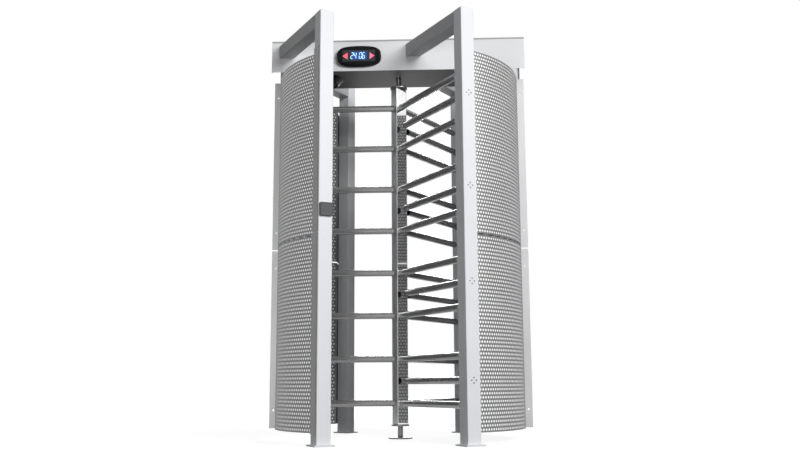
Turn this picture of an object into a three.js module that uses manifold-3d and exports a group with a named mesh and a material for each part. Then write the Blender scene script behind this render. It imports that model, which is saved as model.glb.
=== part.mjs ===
// Full height turnstile, in millimetres, +Z up.
// The origin is on the floor at the rotor's axis, +X points at the barrier side, -Y at the entrance.
import * as THREE from "three";
import { mergeVertices } from "three/addons/utils/BufferGeometryUtils.js";
import Module from "manifold-3d";

const wasm = await Module();
wasm.setup();

// Fits and cuts
const SEAT_GAP = 0.3;
const RUNNING_GAP = 0.6;
const CUT_OVERRUN = 6;

// Roundness, in sides
const FINE_SIDES = 32;
const BORE_SIDES = 20;
const TUBE_SIDES = 12;
const SMALL_SIDES = 12;
const HOLE_SIDES = 8;

// Square tube frame
const FRAME_HEIGHT = 2323;
const POST_SIZE = 80;
const POST_WALL = 3;
const POST_CAP = 4;
const POST_CIRCLE = 761;
const POST_ANGLE = THREE.MathUtils.degToRad(60);
const CHEVRON_TURN = Math.PI / 2 - POST_ANGLE;
const BASE_PLATE_SIZE = 115;
const BASE_PLATE_THICKNESS = 8;
const CABLE_HOLE_RADIUS = 25;

// Header
const HEADER_DROP = 165;
const HEADER_HEIGHT = 183;
const HEADER_DEPTH = 331;
const FASCIA_OVERHANG = 40;
const FASCIA_SHEET = 2.5;
const FASCIA_RETURN = 16;
const TRAY_SETBACK = 98;
const TRAY_FLOOR = 3;
const TRAY_WALL = 2;
const LID_HEIGHT = 10;
const LID_SHEET = 2;
const SPINDLE_HOLE_RADIUS = 21;

// Perforated side shells
const SHELL_INSET = 5;
const SHELL_SHEET = 2;
const SHELL_BOTTOM = 61;
const SHELL_TOP_GAP = 38;
const SEAM_HEIGHT = 1100;
const SEAM_GAP = 8;
const FLANGE_WIDTH = 46;
const FLANGE_RISE = 23;
const FLANGE_HOLE_RADIUS = 5;
const FLANGE_HOLE_INSET = 103;
const TOP_HOLE_INSET = 72;
const POST_FLANGE_WIDTH = 66;
const WINDOW_COLUMNS = 7;
const WINDOW_ROWS = 3;
const WINDOW_WIDTH_SHARE = 0.7;
const WINDOW_HEIGHT_SHARE = 0.7;

// Rotor
const ARM_LEVELS = 8;
const WINGS = 3;
const ARM_RADIUS = 19;
const WING_CLEARANCE = 34;
const ARM_END_ROUND = 4;
const FIRST_ARM_HEIGHT = 201;
const LAST_ARM_DROP = 120.8;
const COLUMN_SIZE = 70;
const COLUMN_CORNER = 9.5;
const COLUMN_CORNER_STEPS = 1;
const COLUMN_WALL = 4;
const COLUMN_BOTTOM = 81;
const COLUMN_TOP_GAP = 68;
const TONGUE_HEIGHT = 28;
const TONGUE_THICKNESS = 8;
const TONGUE_INSET = 16;
const END_PLATE_RADIUS = 52;
const END_PLATE_THICKNESS = 9;

// Floor pivot
const FLOOR_PLATE_RADIUS = 70;
const FLOOR_PLATE_THICKNESS = 9;
const PIVOT_RADIUS = 15;
const CUP_HEIGHT = 46;
const CUP_CROWN = 8;

// Fixed barrier
const BARRIER_ROWS = 4;
const BARRIER_INNER = 84;
const BARRIER_CAP_ROUND = 3;

// Drive and lock in the header
const SPINDLE_RADIUS = 15;
const BEARING_SIZE = 100;
const BEARING_FOOT = 10;
const BEARING_BOSS_RADIUS = 34;
const BEARING_HEIGHT = 34;
const LOCK_DISC_RADIUS = 66;
const LOCK_DISC_RISE = 44;
const LOCK_DISC_THICKNESS = 12;
const NOTCHES = 12;
const NOTCH_DEPTH = 10;
const NOTCH_WIDTH = 14;
const GEAR_TEETH = 36;
const PINION_TEETH = 16;
const GEAR_MODULE = 4;
const GEAR_RISE = 76;
const GEAR_THICKNESS = 14;
const ADDENDUM_SHARE = 0.8;
const DEDENDUM_SHARE = 1.05;
const TOOTH_SHARE = 0.44;
const HUB_RADIUS = 26;
const HUB_HEIGHT = 10;
const SPINDLE_STANDOUT = 8;
const MOTOR_RADIUS = 29;
const MOTOR_HEIGHT = 66;
const MOTOR_FOOT_SIZE = 66;
const MOTOR_FOOT = 6;
const MOTOR_SHAFT_RADIUS = 7;
const SHAFT_ENGAGEMENT = 24;
const PAWL_PIVOT_X = -60;
const PAWL_PIVOT_Y = 90;
const PAWL_WIDTH = 14;
const PAWL_NOSE_WIDTH = 7;
const PAWL_NOSE_LEAD = 2.6;
const PAWL_NOSE_GAP = 4;
const PAWL_TAIL = 40;
const PAWL_PIN_RADIUS = 6;
const PAWL_PIN_STANDOUT = 5;
const PAWL_SHOULDER_RADIUS = 10;
const PLUNGER_RADIUS = 6;
const PLUNGER_LENGTH = 46;
const PLUNGER_GAP = 0.8;
const SOLENOID_SIZE = 38;
const SOLENOID_SETBACK = 14;

// Control board
const BOARD_END_GAP = 218;
const BOARD_LENGTH = 180;
const BOARD_WIDTH = 120;
const BOARD_SHEET = 2;
const STANDOFF_HEIGHT = 12;
const STANDOFF_RADIUS = 4;
const STANDOFF_INSET = 10;
const SUPPLY_LENGTH = 56;
const SUPPLY_WIDTH = 44;
const SUPPLY_HEIGHT = 34;

// Display, reader and lamp
const DISPLAY_X = -230;
const DISPLAY_DROP = 96;
const DISPLAY_LENGTH = 264;
const DISPLAY_HEIGHT = 124;
const DISPLAY_DEPTH = 26;
const DISPLAY_BEVEL = 8;
const DISPLAY_POWER = 3;
const SCREEN_LENGTH = 196;
const SCREEN_HEIGHT = 72;
const SCREEN_THICKNESS = 4;
const SCREEN_RECESS = 2;
const READER_SIZE = 72;
const READER_DEPTH = 14;
const READER_BEVEL = 3;
const READER_CORNER = 8;
const READER_HEIGHT = 1218;
const LAMP_END_GAP = 171;
const LAMP_RADIUS = 148;
const LAMP_FACE_RADIUS = 112;
const LAMP_HEIGHT = 30;
const LENS_RADIUS = 98;
const LENS_THICKNESS = 5;
const LENS_RECESS = 2;

// Heights and distances that follow from the sizes above
const HEADER_UNDERSIDE = FRAME_HEIGHT - HEADER_DROP;
const SHELL_RADIUS = POST_CIRCLE - POST_SIZE / 2 - SHELL_INSET;
const SHELL_TOP = HEADER_UNDERSIDE - SHELL_TOP_GAP;
const WING_REACH = SHELL_RADIUS - WING_CLEARANCE;
const FASCIA_LENGTH = 2 * (SHELL_RADIUS + FASCIA_OVERHANG);
const TRAY_LENGTH = FASCIA_LENGTH - 2 * TRAY_SETBACK;
const BOARD_X = TRAY_LENGTH / 2 - BOARD_END_GAP;
const LAMP_X = LAMP_END_GAP - TRAY_LENGTH / 2;
const COLUMN_TOP = HEADER_UNDERSIDE - COLUMN_TOP_GAP;
const ARM_PITCH = (COLUMN_TOP - LAST_ARM_DROP - FIRST_ARM_HEIGHT) / (ARM_LEVELS - 1);
const HEADER_TOP = HEADER_UNDERSIDE + HEADER_HEIGHT;
const TRAY_DEPTH = HEADER_DEPTH - 2 * (FASCIA_SHEET + SEAT_GAP);
const TRAY_BED = HEADER_UNDERSIDE + TRAY_FLOOR;
const SHELL_MIDDLE = SHELL_RADIUS + SHELL_SHEET / 2;
const POST_HALF = POST_SIZE / 2;
const WING_STEP = (2 * Math.PI) / WINGS;
const FIRST_WING = Math.PI;
const GEAR_RADIUS = (GEAR_TEETH * GEAR_MODULE) / 2;
const PINION_RADIUS = (PINION_TEETH * GEAR_MODULE) / 2;
const MOTOR_X = GEAR_RADIUS + PINION_RADIUS;
const LOCK_DISC_BED = TRAY_BED + LOCK_DISC_RISE;
const GEAR_BED = TRAY_BED + GEAR_RISE;
const SPINDLE_TOP = GEAR_BED + GEAR_THICKNESS + HUB_HEIGHT + SPINDLE_STANDOUT;
const CUP_TOP = COLUMN_BOTTOM + SEAT_GAP + CUP_HEIGHT;
const PIVOT_TOP = CUP_TOP - CUP_CROWN - SEAT_GAP;

// Finishes
const finish = (color, roughness, metalness) =>
  new THREE.MeshStandardMaterial({ color, roughness, metalness, flatShading: true });
const SATIN_STEEL = finish(0xd9dbdd, 0.42, 0.6);
const SHELL_STEEL = finish(0xb4b6b8, 0.5, 0.5);
const ROTOR_STEEL = finish(0xa9abad, 0.28, 0.85);
const POLISHED_STEEL = finish(0xc4c6c8, 0.15, 0.95);
const DARK_PLASTIC = finish(0x17181a, 0.45, 0);
const READER_PLASTIC = finish(0x4a4c50, 0.5, 0);
const SCREEN_GLASS = finish(0x14306a, 0.15, 0);
const LAMP_GLASS = finish(0x53565a, 0.3, 0);
const MACHINED_STEEL = finish(0x8f9194, 0.35, 0.8);
const BEARING_BRONZE = finish(0xa9814a, 0.4, 0.7);
const MOTOR_PAINT = finish(0x2b2e33, 0.5, 0.1);
const BOARD_GREEN = finish(0x1f5a36, 0.6, 0);

// Solids from three.js geometries
function solidOf(geometry) {
  const bare = geometry.clone();
  bare.deleteAttribute("normal");
  bare.deleteAttribute("uv");
  const merged = mergeVertices(bare);
  const corners = merged.index.array;
  const triangles = [];
  for (let i = 0; i < corners.length; i += 3) {
    const [a, b, c] = [corners[i], corners[i + 1], corners[i + 2]];
    if (a !== b && b !== c && c !== a) triangles.push(a, b, c);
  }
  return new wasm.Manifold(
    new wasm.Mesh({
      numProp: 3,
      vertProperties: new Float32Array(merged.attributes.position.array),
      triVerts: new Uint32Array(triangles),
    }),
  );
}

function geometryOf(solid) {
  const mesh = solid.getMesh();
  const geometry = new THREE.BufferGeometry();
  geometry.setAttribute("position", new THREE.BufferAttribute(mesh.vertProperties, 3));
  geometry.setIndex(new THREE.BufferAttribute(mesh.triVerts, 1));
  return geometry;
}

function joined(...pieces) {
  return geometryOf(pieces.map(solidOf).reduce((whole, piece) => whole.add(piece)));
}

function cut(piece, ...tools) {
  return geometryOf(tools.map(solidOf).reduce((whole, tool) => whole.subtract(tool), solidOf(piece)));
}

// Basic forms, each standing on z = 0 at the origin
function block(length, width, height) {
  return new THREE.BoxGeometry(length, width, height).translate(0, 0, height / 2);
}

function rod(radius, height, sides) {
  return new THREE.CylinderGeometry(radius, radius, height, sides)
    .rotateX(Math.PI / 2)
    .translate(0, 0, height / 2);
}

function turned(profile, sides) {
  const points = profile.map(([radius, height]) => new THREE.Vector2(radius, height));
  return new THREE.LatheGeometry(points, sides).rotateX(Math.PI / 2);
}

function ring(inner, outer, height, sides) {
  const profile = [[inner, 0], [outer, 0], [outer, height], [inner, height], [inner, 0]];
  return turned(profile, sides);
}

function plate(outline, height) {
  const shape = new THREE.Shape(outline);
  return new THREE.ExtrudeGeometry(shape, { depth: height, bevelEnabled: false });
}

// The outline of a bent sheet, half its thickness to each side of a path
function sheetOutline(path, thickness) {
  const normals = path.slice(1).map((point, i) => {
    const along = point.clone().sub(path[i]).normalize();
    return new THREE.Vector2(-along.y, along.x);
  });
  const offsets = path.map((point, i) => {
    const before = normals[Math.max(i - 1, 0)];
    const after = normals[Math.min(i, normals.length - 1)];
    const mitre = before.clone().add(after).normalize();
    return mitre.multiplyScalar(thickness / 2 / mitre.dot(after));
  });
  const left = path.map((point, i) => point.clone().add(offsets[i]));
  const right = path.map((point, i) => point.clone().sub(offsets[i]));
  return [...left, ...right.reverse()];
}

function roundedRectangle(length, height, corner) {
  const shape = new THREE.Shape();
  const x = length / 2 - corner;
  const y = height / 2 - corner;
  const quarters = [[x, y, 0], [-x, y, 1], [-x, -y, 2], [x, -y, 3]];
  for (const [cx, cy, quarter] of quarters) {
    const start = (quarter * Math.PI) / 2;
    shape.absarc(cx, cy, corner, start, start + Math.PI / 2, false);
  }
  return shape;
}

const root = new THREE.Group();
function add(name, geometry, material, x = 0, y = 0, z = 0, turn = 0) {
  const mesh = new THREE.Mesh(geometry, material);
  mesh.name = name;
  mesh.position.set(x, y, z);
  mesh.rotation.z = turn;
  root.add(mesh);
}

// The four corners: the side along X, the side along Y, and the names made from them
const CORNERS = [
  { along: -1, across: -1, name: "front_left" },
  { along: 1, across: -1, name: "front_right" },
  { along: -1, across: 1, name: "back_left" },
  { along: 1, across: 1, name: "back_right" },
];
for (const corner of CORNERS) {
  corner.x = corner.along * POST_CIRCLE * Math.cos(POST_ANGLE);
  corner.y = corner.across * POST_CIRCLE * Math.sin(POST_ANGLE);
  corner.turn = -corner.across * CHEVRON_TURN;
}

// A post's own point, with its second axis along the overhead arm, as a point of the plan
function postPoint(corner, sideways, inwards) {
  const x = sideways;
  const y = -corner.across * inwards;
  const cosine = Math.cos(corner.turn);
  const sine = Math.sin(corner.turn);
  return new THREE.Vector2(corner.x + x * cosine - y * sine, corner.y + x * sine + y * cosine);
}

// Posts: square tube, welded top cap and base plate with the cable entry
function post() {
  const bore = POST_SIZE - 2 * POST_WALL;
  const inside = block(bore, bore, FRAME_HEIGHT - POST_CAP - BASE_PLATE_THICKNESS);
  const entry = rod(CABLE_HOLE_RADIUS, BASE_PLATE_THICKNESS + 2 * CUT_OVERRUN, TUBE_SIDES);
  return cut(
    joined(
      block(POST_SIZE, POST_SIZE, FRAME_HEIGHT),
      block(BASE_PLATE_SIZE, BASE_PLATE_SIZE, BASE_PLATE_THICKNESS),
    ),
    inside.translate(0, 0, BASE_PLATE_THICKNESS),
    entry.translate(0, 0, -CUT_OVERRUN),
  );
}

// Overhead arm: square tube from a post to the header's face, its far end cut parallel to the face
function overheadArm() {
  const start = POST_HALF + SEAT_GAP;
  const facePlane = POST_CIRCLE * Math.sin(POST_ANGLE) - HEADER_DEPTH / 2 - SEAT_GAP;
  const reach = (sideways) => (facePlane + sideways * Math.sin(CHEVRON_TURN)) / Math.cos(CHEVRON_TURN);
  const outline = (half, from, beyond) => [
    new THREE.Vector2(-half, from),
    new THREE.Vector2(half, from),
    new THREE.Vector2(half, reach(-half) + beyond),
    new THREE.Vector2(-half, reach(half) + beyond),
  ];
  const bore = POST_HALF - POST_WALL;
  return cut(
    plate(outline(POST_HALF, start, 0), POST_SIZE),
    plate(outline(bore, start - CUT_OVERRUN, CUT_OVERRUN), 2 * bore).translate(0, 0, POST_WALL),
  );
}

for (const corner of CORNERS) {
  add(`post_${corner.name}`, post(), SATIN_STEEL, corner.x, corner.y, 0, corner.turn);
  const arm = overheadArm();
  if (corner.across > 0) arm.rotateX(Math.PI).translate(0, 0, POST_SIZE);
  add(
    `overhead_arm_${corner.name}`,
    arm,
    SATIN_STEEL,
    corner.x,
    corner.y,
    FRAME_HEIGHT - POST_SIZE,
    corner.turn,
  );
}

// Header: tray with two welded studs for the lock pawls, two fascias with end returns, and a lid
function pawlStud(across) {
  const shoulder = LOCK_DISC_BED - SEAT_GAP - HEADER_UNDERSIDE;
  const pinTop = LOCK_DISC_BED + LOCK_DISC_THICKNESS + PAWL_PIN_STANDOUT - HEADER_UNDERSIDE;
  return joined(
    rod(PAWL_SHOULDER_RADIUS, shoulder, SMALL_SIDES),
    rod(PAWL_PIN_RADIUS, pinTop, SMALL_SIDES),
  ).translate(PAWL_PIVOT_X, across * PAWL_PIVOT_Y, 0);
}

function headerTray() {
  const bay = block(TRAY_LENGTH - 2 * TRAY_WALL, TRAY_DEPTH - 2 * TRAY_WALL, HEADER_HEIGHT);
  const hole = rod(SPINDLE_HOLE_RADIUS, TRAY_FLOOR + 2 * CUT_OVERRUN, TUBE_SIDES);
  const box = cut(
    block(TRAY_LENGTH, TRAY_DEPTH, HEADER_HEIGHT),
    bay.translate(0, 0, TRAY_FLOOR),
    hole.translate(0, 0, -CUT_OVERRUN),
  );
  return joined(box, pawlStud(-1), pawlStud(1));
}

function headerFascia() {
  const face = HEADER_DEPTH / 2 - FASCIA_SHEET / 2;
  const end = FASCIA_LENGTH / 2 - FASCIA_SHEET / 2;
  const path = [
    new THREE.Vector2(-end, FASCIA_RETURN - face),
    new THREE.Vector2(-end, -face),
    new THREE.Vector2(end, -face),
    new THREE.Vector2(end, FASCIA_RETURN - face),
  ];
  return plate(sheetOutline(path, FASCIA_SHEET), HEADER_HEIGHT);
}

function headerLid() {
  const inside = block(FASCIA_LENGTH - 2 * LID_SHEET, HEADER_DEPTH - 2 * LID_SHEET, LID_HEIGHT);
  return cut(
    block(FASCIA_LENGTH, HEADER_DEPTH, LID_HEIGHT),
    inside.translate(0, 0, -LID_SHEET),
  );
}

add("header_tray", headerTray(), SATIN_STEEL, 0, 0, HEADER_UNDERSIDE);
add("header_fascia_front", geometryOf(solidOf(headerFascia())), SATIN_STEEL, 0, 0, HEADER_UNDERSIDE);
add("header_fascia_back", geometryOf(solidOf(headerFascia())), SATIN_STEEL, 0, 0, HEADER_UNDERSIDE, Math.PI);
add("header_lid", headerLid(), SATIN_STEEL, 0, 0, HEADER_TOP + SEAT_GAP);

// Side shells: a rolled sheet from the flange on the X axis to a post, folded on to the post's side
function shellSpan(corner) {
  const seat = POST_HALF + SEAT_GAP + SHELL_SHEET / 2;
  const flangeY = (SEAT_GAP + SHELL_SHEET) / 2;
  const bend = corner.along < 0 ? postPoint(corner, -seat, POST_HALF) : null;
  const first = Math.asin(flangeY / SHELL_MIDDLE);
  const last = bend
    ? Math.acos(Math.abs(bend.x) / SHELL_MIDDLE)
    : POST_ANGLE - Math.asin(seat / SHELL_MIDDLE);
  return { seat, flangeY, bend, first, step: (last - first) / WINDOW_COLUMNS };
}

function shellPath(corner) {
  const { seat, flangeY, bend, first, step } = shellSpan(corner);
  const path = [new THREE.Vector2(corner.along * (SHELL_MIDDLE + FLANGE_WIDTH), corner.across * flangeY)];
  for (let i = 0; i <= WINDOW_COLUMNS; i += 1) {
    const angle = first + step * i;
    const x = corner.along * SHELL_MIDDLE * Math.cos(angle);
    path.push(new THREE.Vector2(x, corner.across * SHELL_MIDDLE * Math.sin(angle)));
  }
  if (bend) {
    path.push(bend, postPoint(corner, -seat, POST_HALF - POST_FLANGE_WIDTH));
  } else {
    const start = SHELL_MIDDLE * Math.cos(Math.asin(seat / SHELL_MIDDLE));
    path.push(postPoint(corner, seat, POST_CIRCLE - start - POST_FLANGE_WIDTH));
  }
  return path;
}

// A plain grid of windows stands in for the fine perforation, one column to each flat of the sheet
function shellWindows(corner, height) {
  const { first, step } = shellSpan(corner);
  const width = WINDOW_WIDTH_SHARE * 2 * SHELL_MIDDLE * Math.sin(step / 2);
  const pitch = height / WINDOW_ROWS;
  const windows = [];
  for (let column = 0; column < WINDOW_COLUMNS; column += 1) {
    const angle = first + step * (column + 1 / 2);
    const turn = Math.atan2(corner.across * Math.sin(angle), corner.along * Math.cos(angle));
    for (let row = 0; row < WINDOW_ROWS; row += 1) {
      const sill = pitch * (row + (1 - WINDOW_HEIGHT_SHARE) / 2);
      const opening = block(SHELL_SHEET + 2 * CUT_OVERRUN, width, WINDOW_HEIGHT_SHARE * pitch);
      windows.push(opening.translate(SHELL_MIDDLE * Math.cos(step / 2), 0, sill).rotateZ(turn));
    }
  }
  return windows;
}

function shellPanel(corner, bottom, top, holes, rise) {
  const path = shellPath(corner);
  const outline = sheetOutline(path, SHELL_SHEET);
  let panel = plate(outline, top - bottom);
  const flangeMiddle = (path[0].x + path[1].x) / 2;
  if (rise > 0) {
    const tab = block(FLANGE_WIDTH, SHELL_SHEET, rise + FLANGE_WIDTH);
    panel = joined(panel, tab.translate(flangeMiddle, path[0].y, top - bottom - FLANGE_WIDTH));
  }
  const drills = holes.map((height) =>
    rod(FLANGE_HOLE_RADIUS, SHELL_SHEET + 2 * CUT_OVERRUN, HOLE_SIDES)
      .rotateX(Math.PI / 2)
      .translate(flangeMiddle, path[0].y + SHELL_SHEET / 2 + CUT_OVERRUN, height - bottom),
  );
  return cut(panel, ...drills, ...shellWindows(corner, top - bottom));
}

const SEAM_TOP = SEAM_HEIGHT + SEAM_GAP / 2;
const SEAM_BOTTOM = SEAM_HEIGHT - SEAM_GAP / 2;
for (const corner of CORNERS) {
  const [end, side] = corner.name.split("_");
  const upperHoles = [SHELL_TOP - TOP_HOLE_INSET, SEAM_TOP + FLANGE_HOLE_INSET];
  const lowerHoles = [SEAM_BOTTOM - FLANGE_HOLE_INSET, SHELL_BOTTOM + FLANGE_HOLE_INSET];
  const upper = shellPanel(corner, SEAM_TOP, SHELL_TOP, upperHoles, FLANGE_RISE);
  const lower = shellPanel(corner, SHELL_BOTTOM, SEAM_BOTTOM, lowerHoles, 0);
  add(`${side}_shell_${end}_upper`, upper, SHELL_STEEL, 0, 0, SEAM_TOP);
  add(`${side}_shell_${end}_lower`, lower, SHELL_STEEL, 0, 0, SHELL_BOTTOM);
}

// Floor pivot: a round floor plate with the pin that the rotor stands and turns on
function floorPivot() {
  return turned(
    [
      [0, 0],
      [FLOOR_PLATE_RADIUS, 0],
      [FLOOR_PLATE_RADIUS, FLOOR_PLATE_THICKNESS],
      [PIVOT_RADIUS, FLOOR_PLATE_THICKNESS],
      [PIVOT_RADIUS, PIVOT_TOP],
      [0, PIVOT_TOP],
    ],
    FINE_SIDES,
  );
}
add("floor_pivot", geometryOf(solidOf(floorPivot())), MACHINED_STEEL);

// Rotor: slotted column, end plates, bearing cup, and one three-armed star of round bars a level
function armAngles() {
  return Array.from({ length: WINGS }, (_, i) => FIRST_WING + i * WING_STEP);
}

// The column's square section, turned like the front posts and inset all round
function columnPrism(inset, height) {
  const size = COLUMN_SIZE - 2 * inset;
  const outline = roundedRectangle(size, size, COLUMN_CORNER - inset).getPoints(COLUMN_CORNER_STEPS);
  return plate(outline, height).rotateZ(CHEVRON_TURN);
}

function rotorColumn() {
  const slotWidth = TONGUE_THICKNESS + 2 * SEAT_GAP;
  const slotHeight = TONGUE_HEIGHT + 2 * SEAT_GAP;
  const slots = [];
  for (let level = 0; level < ARM_LEVELS; level += 1) {
    const height = FIRST_ARM_HEIGHT + level * ARM_PITCH - COLUMN_BOTTOM - slotHeight / 2;
    for (const angle of armAngles()) {
      const slot = block(COLUMN_SIZE / 2, slotWidth, slotHeight);
      slots.push(slot.translate(COLUMN_SIZE / 2, 0, height).rotateZ(angle));
    }
  }
  const height = COLUMN_TOP - COLUMN_BOTTOM;
  const hollow = columnPrism(COLUMN_WALL, height + 2 * CUT_OVERRUN).translate(0, 0, -CUT_OVERRUN);
  return cut(columnPrism(0, height), hollow, ...slots);
}

function armSet() {
  const saddle = columnPrism(-SEAT_GAP, 2 * ARM_RADIUS + 2 * CUT_OVERRUN);
  const bar = turned(
    [
      [0, 0],
      [ARM_RADIUS, 0],
      [ARM_RADIUS, WING_REACH - ARM_END_ROUND],
      [ARM_RADIUS - ARM_END_ROUND, WING_REACH],
      [0, WING_REACH],
    ],
    TUBE_SIDES,
  ).rotateY(Math.PI / 2);
  const bars = armAngles().map((angle) => bar.clone().rotateZ(angle));
  const tongueLength = COLUMN_SIZE / Math.SQRT2 + TONGUE_INSET;
  const tongues = armAngles().map((angle) =>
    block(tongueLength, TONGUE_THICKNESS, TONGUE_HEIGHT)
      .translate(tongueLength / 2, 0, -TONGUE_HEIGHT / 2)
      .rotateZ(angle),
  );
  const outer = cut(joined(...bars), saddle.translate(0, 0, -ARM_RADIUS - CUT_OVERRUN));
  return joined(outer, ...tongues);
}

function bearingCup() {
  const bore = rod(PIVOT_RADIUS + RUNNING_GAP, CUP_HEIGHT - CUP_CROWN + CUT_OVERRUN, BORE_SIDES);
  return cut(columnPrism(COLUMN_WALL + SEAT_GAP, CUP_HEIGHT), bore.translate(0, 0, -CUT_OVERRUN));
}

add("rotor_column", rotorColumn(), POLISHED_STEEL, 0, 0, COLUMN_BOTTOM);
for (let level = 0; level < ARM_LEVELS; level += 1) {
  add(`arm_set_${level + 1}`, armSet(), ROTOR_STEEL, 0, 0, FIRST_ARM_HEIGHT + level * ARM_PITCH);
}
const bottomPlate = ring(PIVOT_RADIUS + RUNNING_GAP, END_PLATE_RADIUS, END_PLATE_THICKNESS, FINE_SIDES);
const topPlate = turned(
  [[0, 0], [END_PLATE_RADIUS, 0], [END_PLATE_RADIUS, END_PLATE_THICKNESS], [0, END_PLATE_THICKNESS]],
  FINE_SIDES,
);
add(
  "rotor_bottom_plate",
  geometryOf(solidOf(bottomPlate)),
  MACHINED_STEEL,
  0,
  0,
  COLUMN_BOTTOM - SEAT_GAP - END_PLATE_THICKNESS,
);
add("rotor_top_plate", geometryOf(solidOf(topPlate)), MACHINED_STEEL, 0, 0, COLUMN_TOP + SEAT_GAP);
add("lower_bearing_cup", bearingCup(), BEARING_BRONZE, 0, 0, COLUMN_BOTTOM + SEAT_GAP);

// Fixed barrier: round bars from the right-hand posts towards the column, midway between rotor arms
function barrierBar() {
  const outer = POST_CIRCLE - POST_HALF - SEAT_GAP;
  return turned(
    [
      [0, BARRIER_INNER],
      [ARM_RADIUS - BARRIER_CAP_ROUND, BARRIER_INNER],
      [ARM_RADIUS, BARRIER_INNER + BARRIER_CAP_ROUND],
      [ARM_RADIUS, outer],
      [0, outer],
    ],
    TUBE_SIDES,
  ).rotateY(Math.PI / 2);
}

for (const corner of CORNERS.filter((each) => each.along > 0)) {
  for (let row = 0; row < BARRIER_ROWS; row += 1) {
    const height = FIRST_ARM_HEIGHT + ARM_PITCH * (2 * row + 1 / 2);
    const end = corner.name.split("_")[0];
    const bar = geometryOf(solidOf(barrierBar()));
    add(`barrier_arm_${end}_${row + 1}`, bar, ROTOR_STEEL, 0, 0, height, corner.across * POST_ANGLE);
  }
}

// Drive spindle, top bearing, lock disc and gear train
const SPINDLE_BOTTOM = COLUMN_TOP + END_PLATE_THICKNESS + 2 * SEAT_GAP;
add(
  "drive_spindle",
  geometryOf(solidOf(rod(SPINDLE_RADIUS, SPINDLE_TOP - SPINDLE_BOTTOM, FINE_SIDES))),
  POLISHED_STEEL,
  0,
  0,
  SPINDLE_BOTTOM,
);

function topBearing() {
  const bore = rod(SPINDLE_RADIUS + RUNNING_GAP, BEARING_HEIGHT + 2 * CUT_OVERRUN, FINE_SIDES);
  const housing = joined(
    block(BEARING_SIZE, BEARING_SIZE, BEARING_FOOT),
    rod(BEARING_BOSS_RADIUS, BEARING_HEIGHT, FINE_SIDES),
  );
  return cut(housing, bore.translate(0, 0, -CUT_OVERRUN));
}
add("top_bearing", topBearing(), MACHINED_STEEL, 0, 0, TRAY_BED + SEAT_GAP);

// The lock disc's outline: lands on the outer circle with straight-sided notches between them
function lockDisc() {
  const outline = [];
  const step = (2 * Math.PI) / NOTCHES;
  const root = LOCK_DISC_RADIUS - NOTCH_DEPTH;
  const rimHalf = Math.asin(NOTCH_WIDTH / 2 / LOCK_DISC_RADIUS);
  const rootHalf = Math.asin(NOTCH_WIDTH / 2 / root);
  const polar = (radius, angle) => new THREE.Vector2(radius * Math.cos(angle), radius * Math.sin(angle));
  for (let i = 0; i < NOTCHES; i += 1) {
    const middle = i * step;
    outline.push(polar(LOCK_DISC_RADIUS, middle - rimHalf));
    outline.push(polar(root, middle - rootHalf));
    outline.push(polar(root, middle + rootHalf));
    outline.push(polar(LOCK_DISC_RADIUS, middle + rimHalf));
    outline.push(polar(LOCK_DISC_RADIUS, middle + step / 2));
  }
  const height = LOCK_DISC_THICKNESS + HUB_HEIGHT;
  const hub = rod(HUB_RADIUS, height, FINE_SIDES);
  const bore = rod(SPINDLE_RADIUS + SEAT_GAP, height + 2 * CUT_OVERRUN, FINE_SIDES);
  return cut(joined(plate(outline, LOCK_DISC_THICKNESS), hub), bore.translate(0, 0, -CUT_OVERRUN));
}
add("lock_disc", lockDisc(), MACHINED_STEEL, 0, 0, LOCK_DISC_BED);

// Involute spur gear outline, tooth centred on the X axis, with thinned teeth for backlash
function gearOutline(teeth) {
  const pressure = THREE.MathUtils.degToRad(20);
  const involute = (angle) => Math.tan(angle) - angle;
  const pitchRadius = (teeth * GEAR_MODULE) / 2;
  const baseRadius = pitchRadius * Math.cos(pressure);
  const rootRadius = pitchRadius - DEDENDUM_SHARE * GEAR_MODULE;
  const tipRadius = pitchRadius + ADDENDUM_SHARE * GEAR_MODULE;
  const halfAtPitch = (TOOTH_SHARE * Math.PI) / teeth;
  const halfAt = (radius) => {
    const angle = Math.acos(Math.min(baseRadius / Math.max(radius, baseRadius), 1));
    return halfAtPitch + involute(pressure) - involute(angle);
  };
  const outline = [];
  for (let tooth = 0; tooth < teeth; tooth += 1) {
    const middle = (2 * Math.PI * tooth) / teeth;
    const flank = [rootRadius, pitchRadius, tipRadius];
    const sides = [
      ...flank.map((radius) => [radius, -halfAt(radius)]),
      ...flank.reverse().map((radius) => [radius, halfAt(radius)]),
    ];
    for (const [radius, offset] of sides) {
      const angle = middle + offset;
      outline.push(new THREE.Vector2(radius * Math.cos(angle), radius * Math.sin(angle)));
    }
  }
  return outline;
}

function driveGear() {
  const height = GEAR_THICKNESS + HUB_HEIGHT;
  const bore = rod(SPINDLE_RADIUS + SEAT_GAP, height + 2 * CUT_OVERRUN, FINE_SIDES);
  const wheel = joined(plate(gearOutline(GEAR_TEETH), GEAR_THICKNESS), rod(HUB_RADIUS, height, FINE_SIDES));
  return cut(wheel, bore.translate(0, 0, -CUT_OVERRUN));
}
add("drive_gear", driveGear(), MACHINED_STEEL, 0, 0, GEAR_BED);

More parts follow.
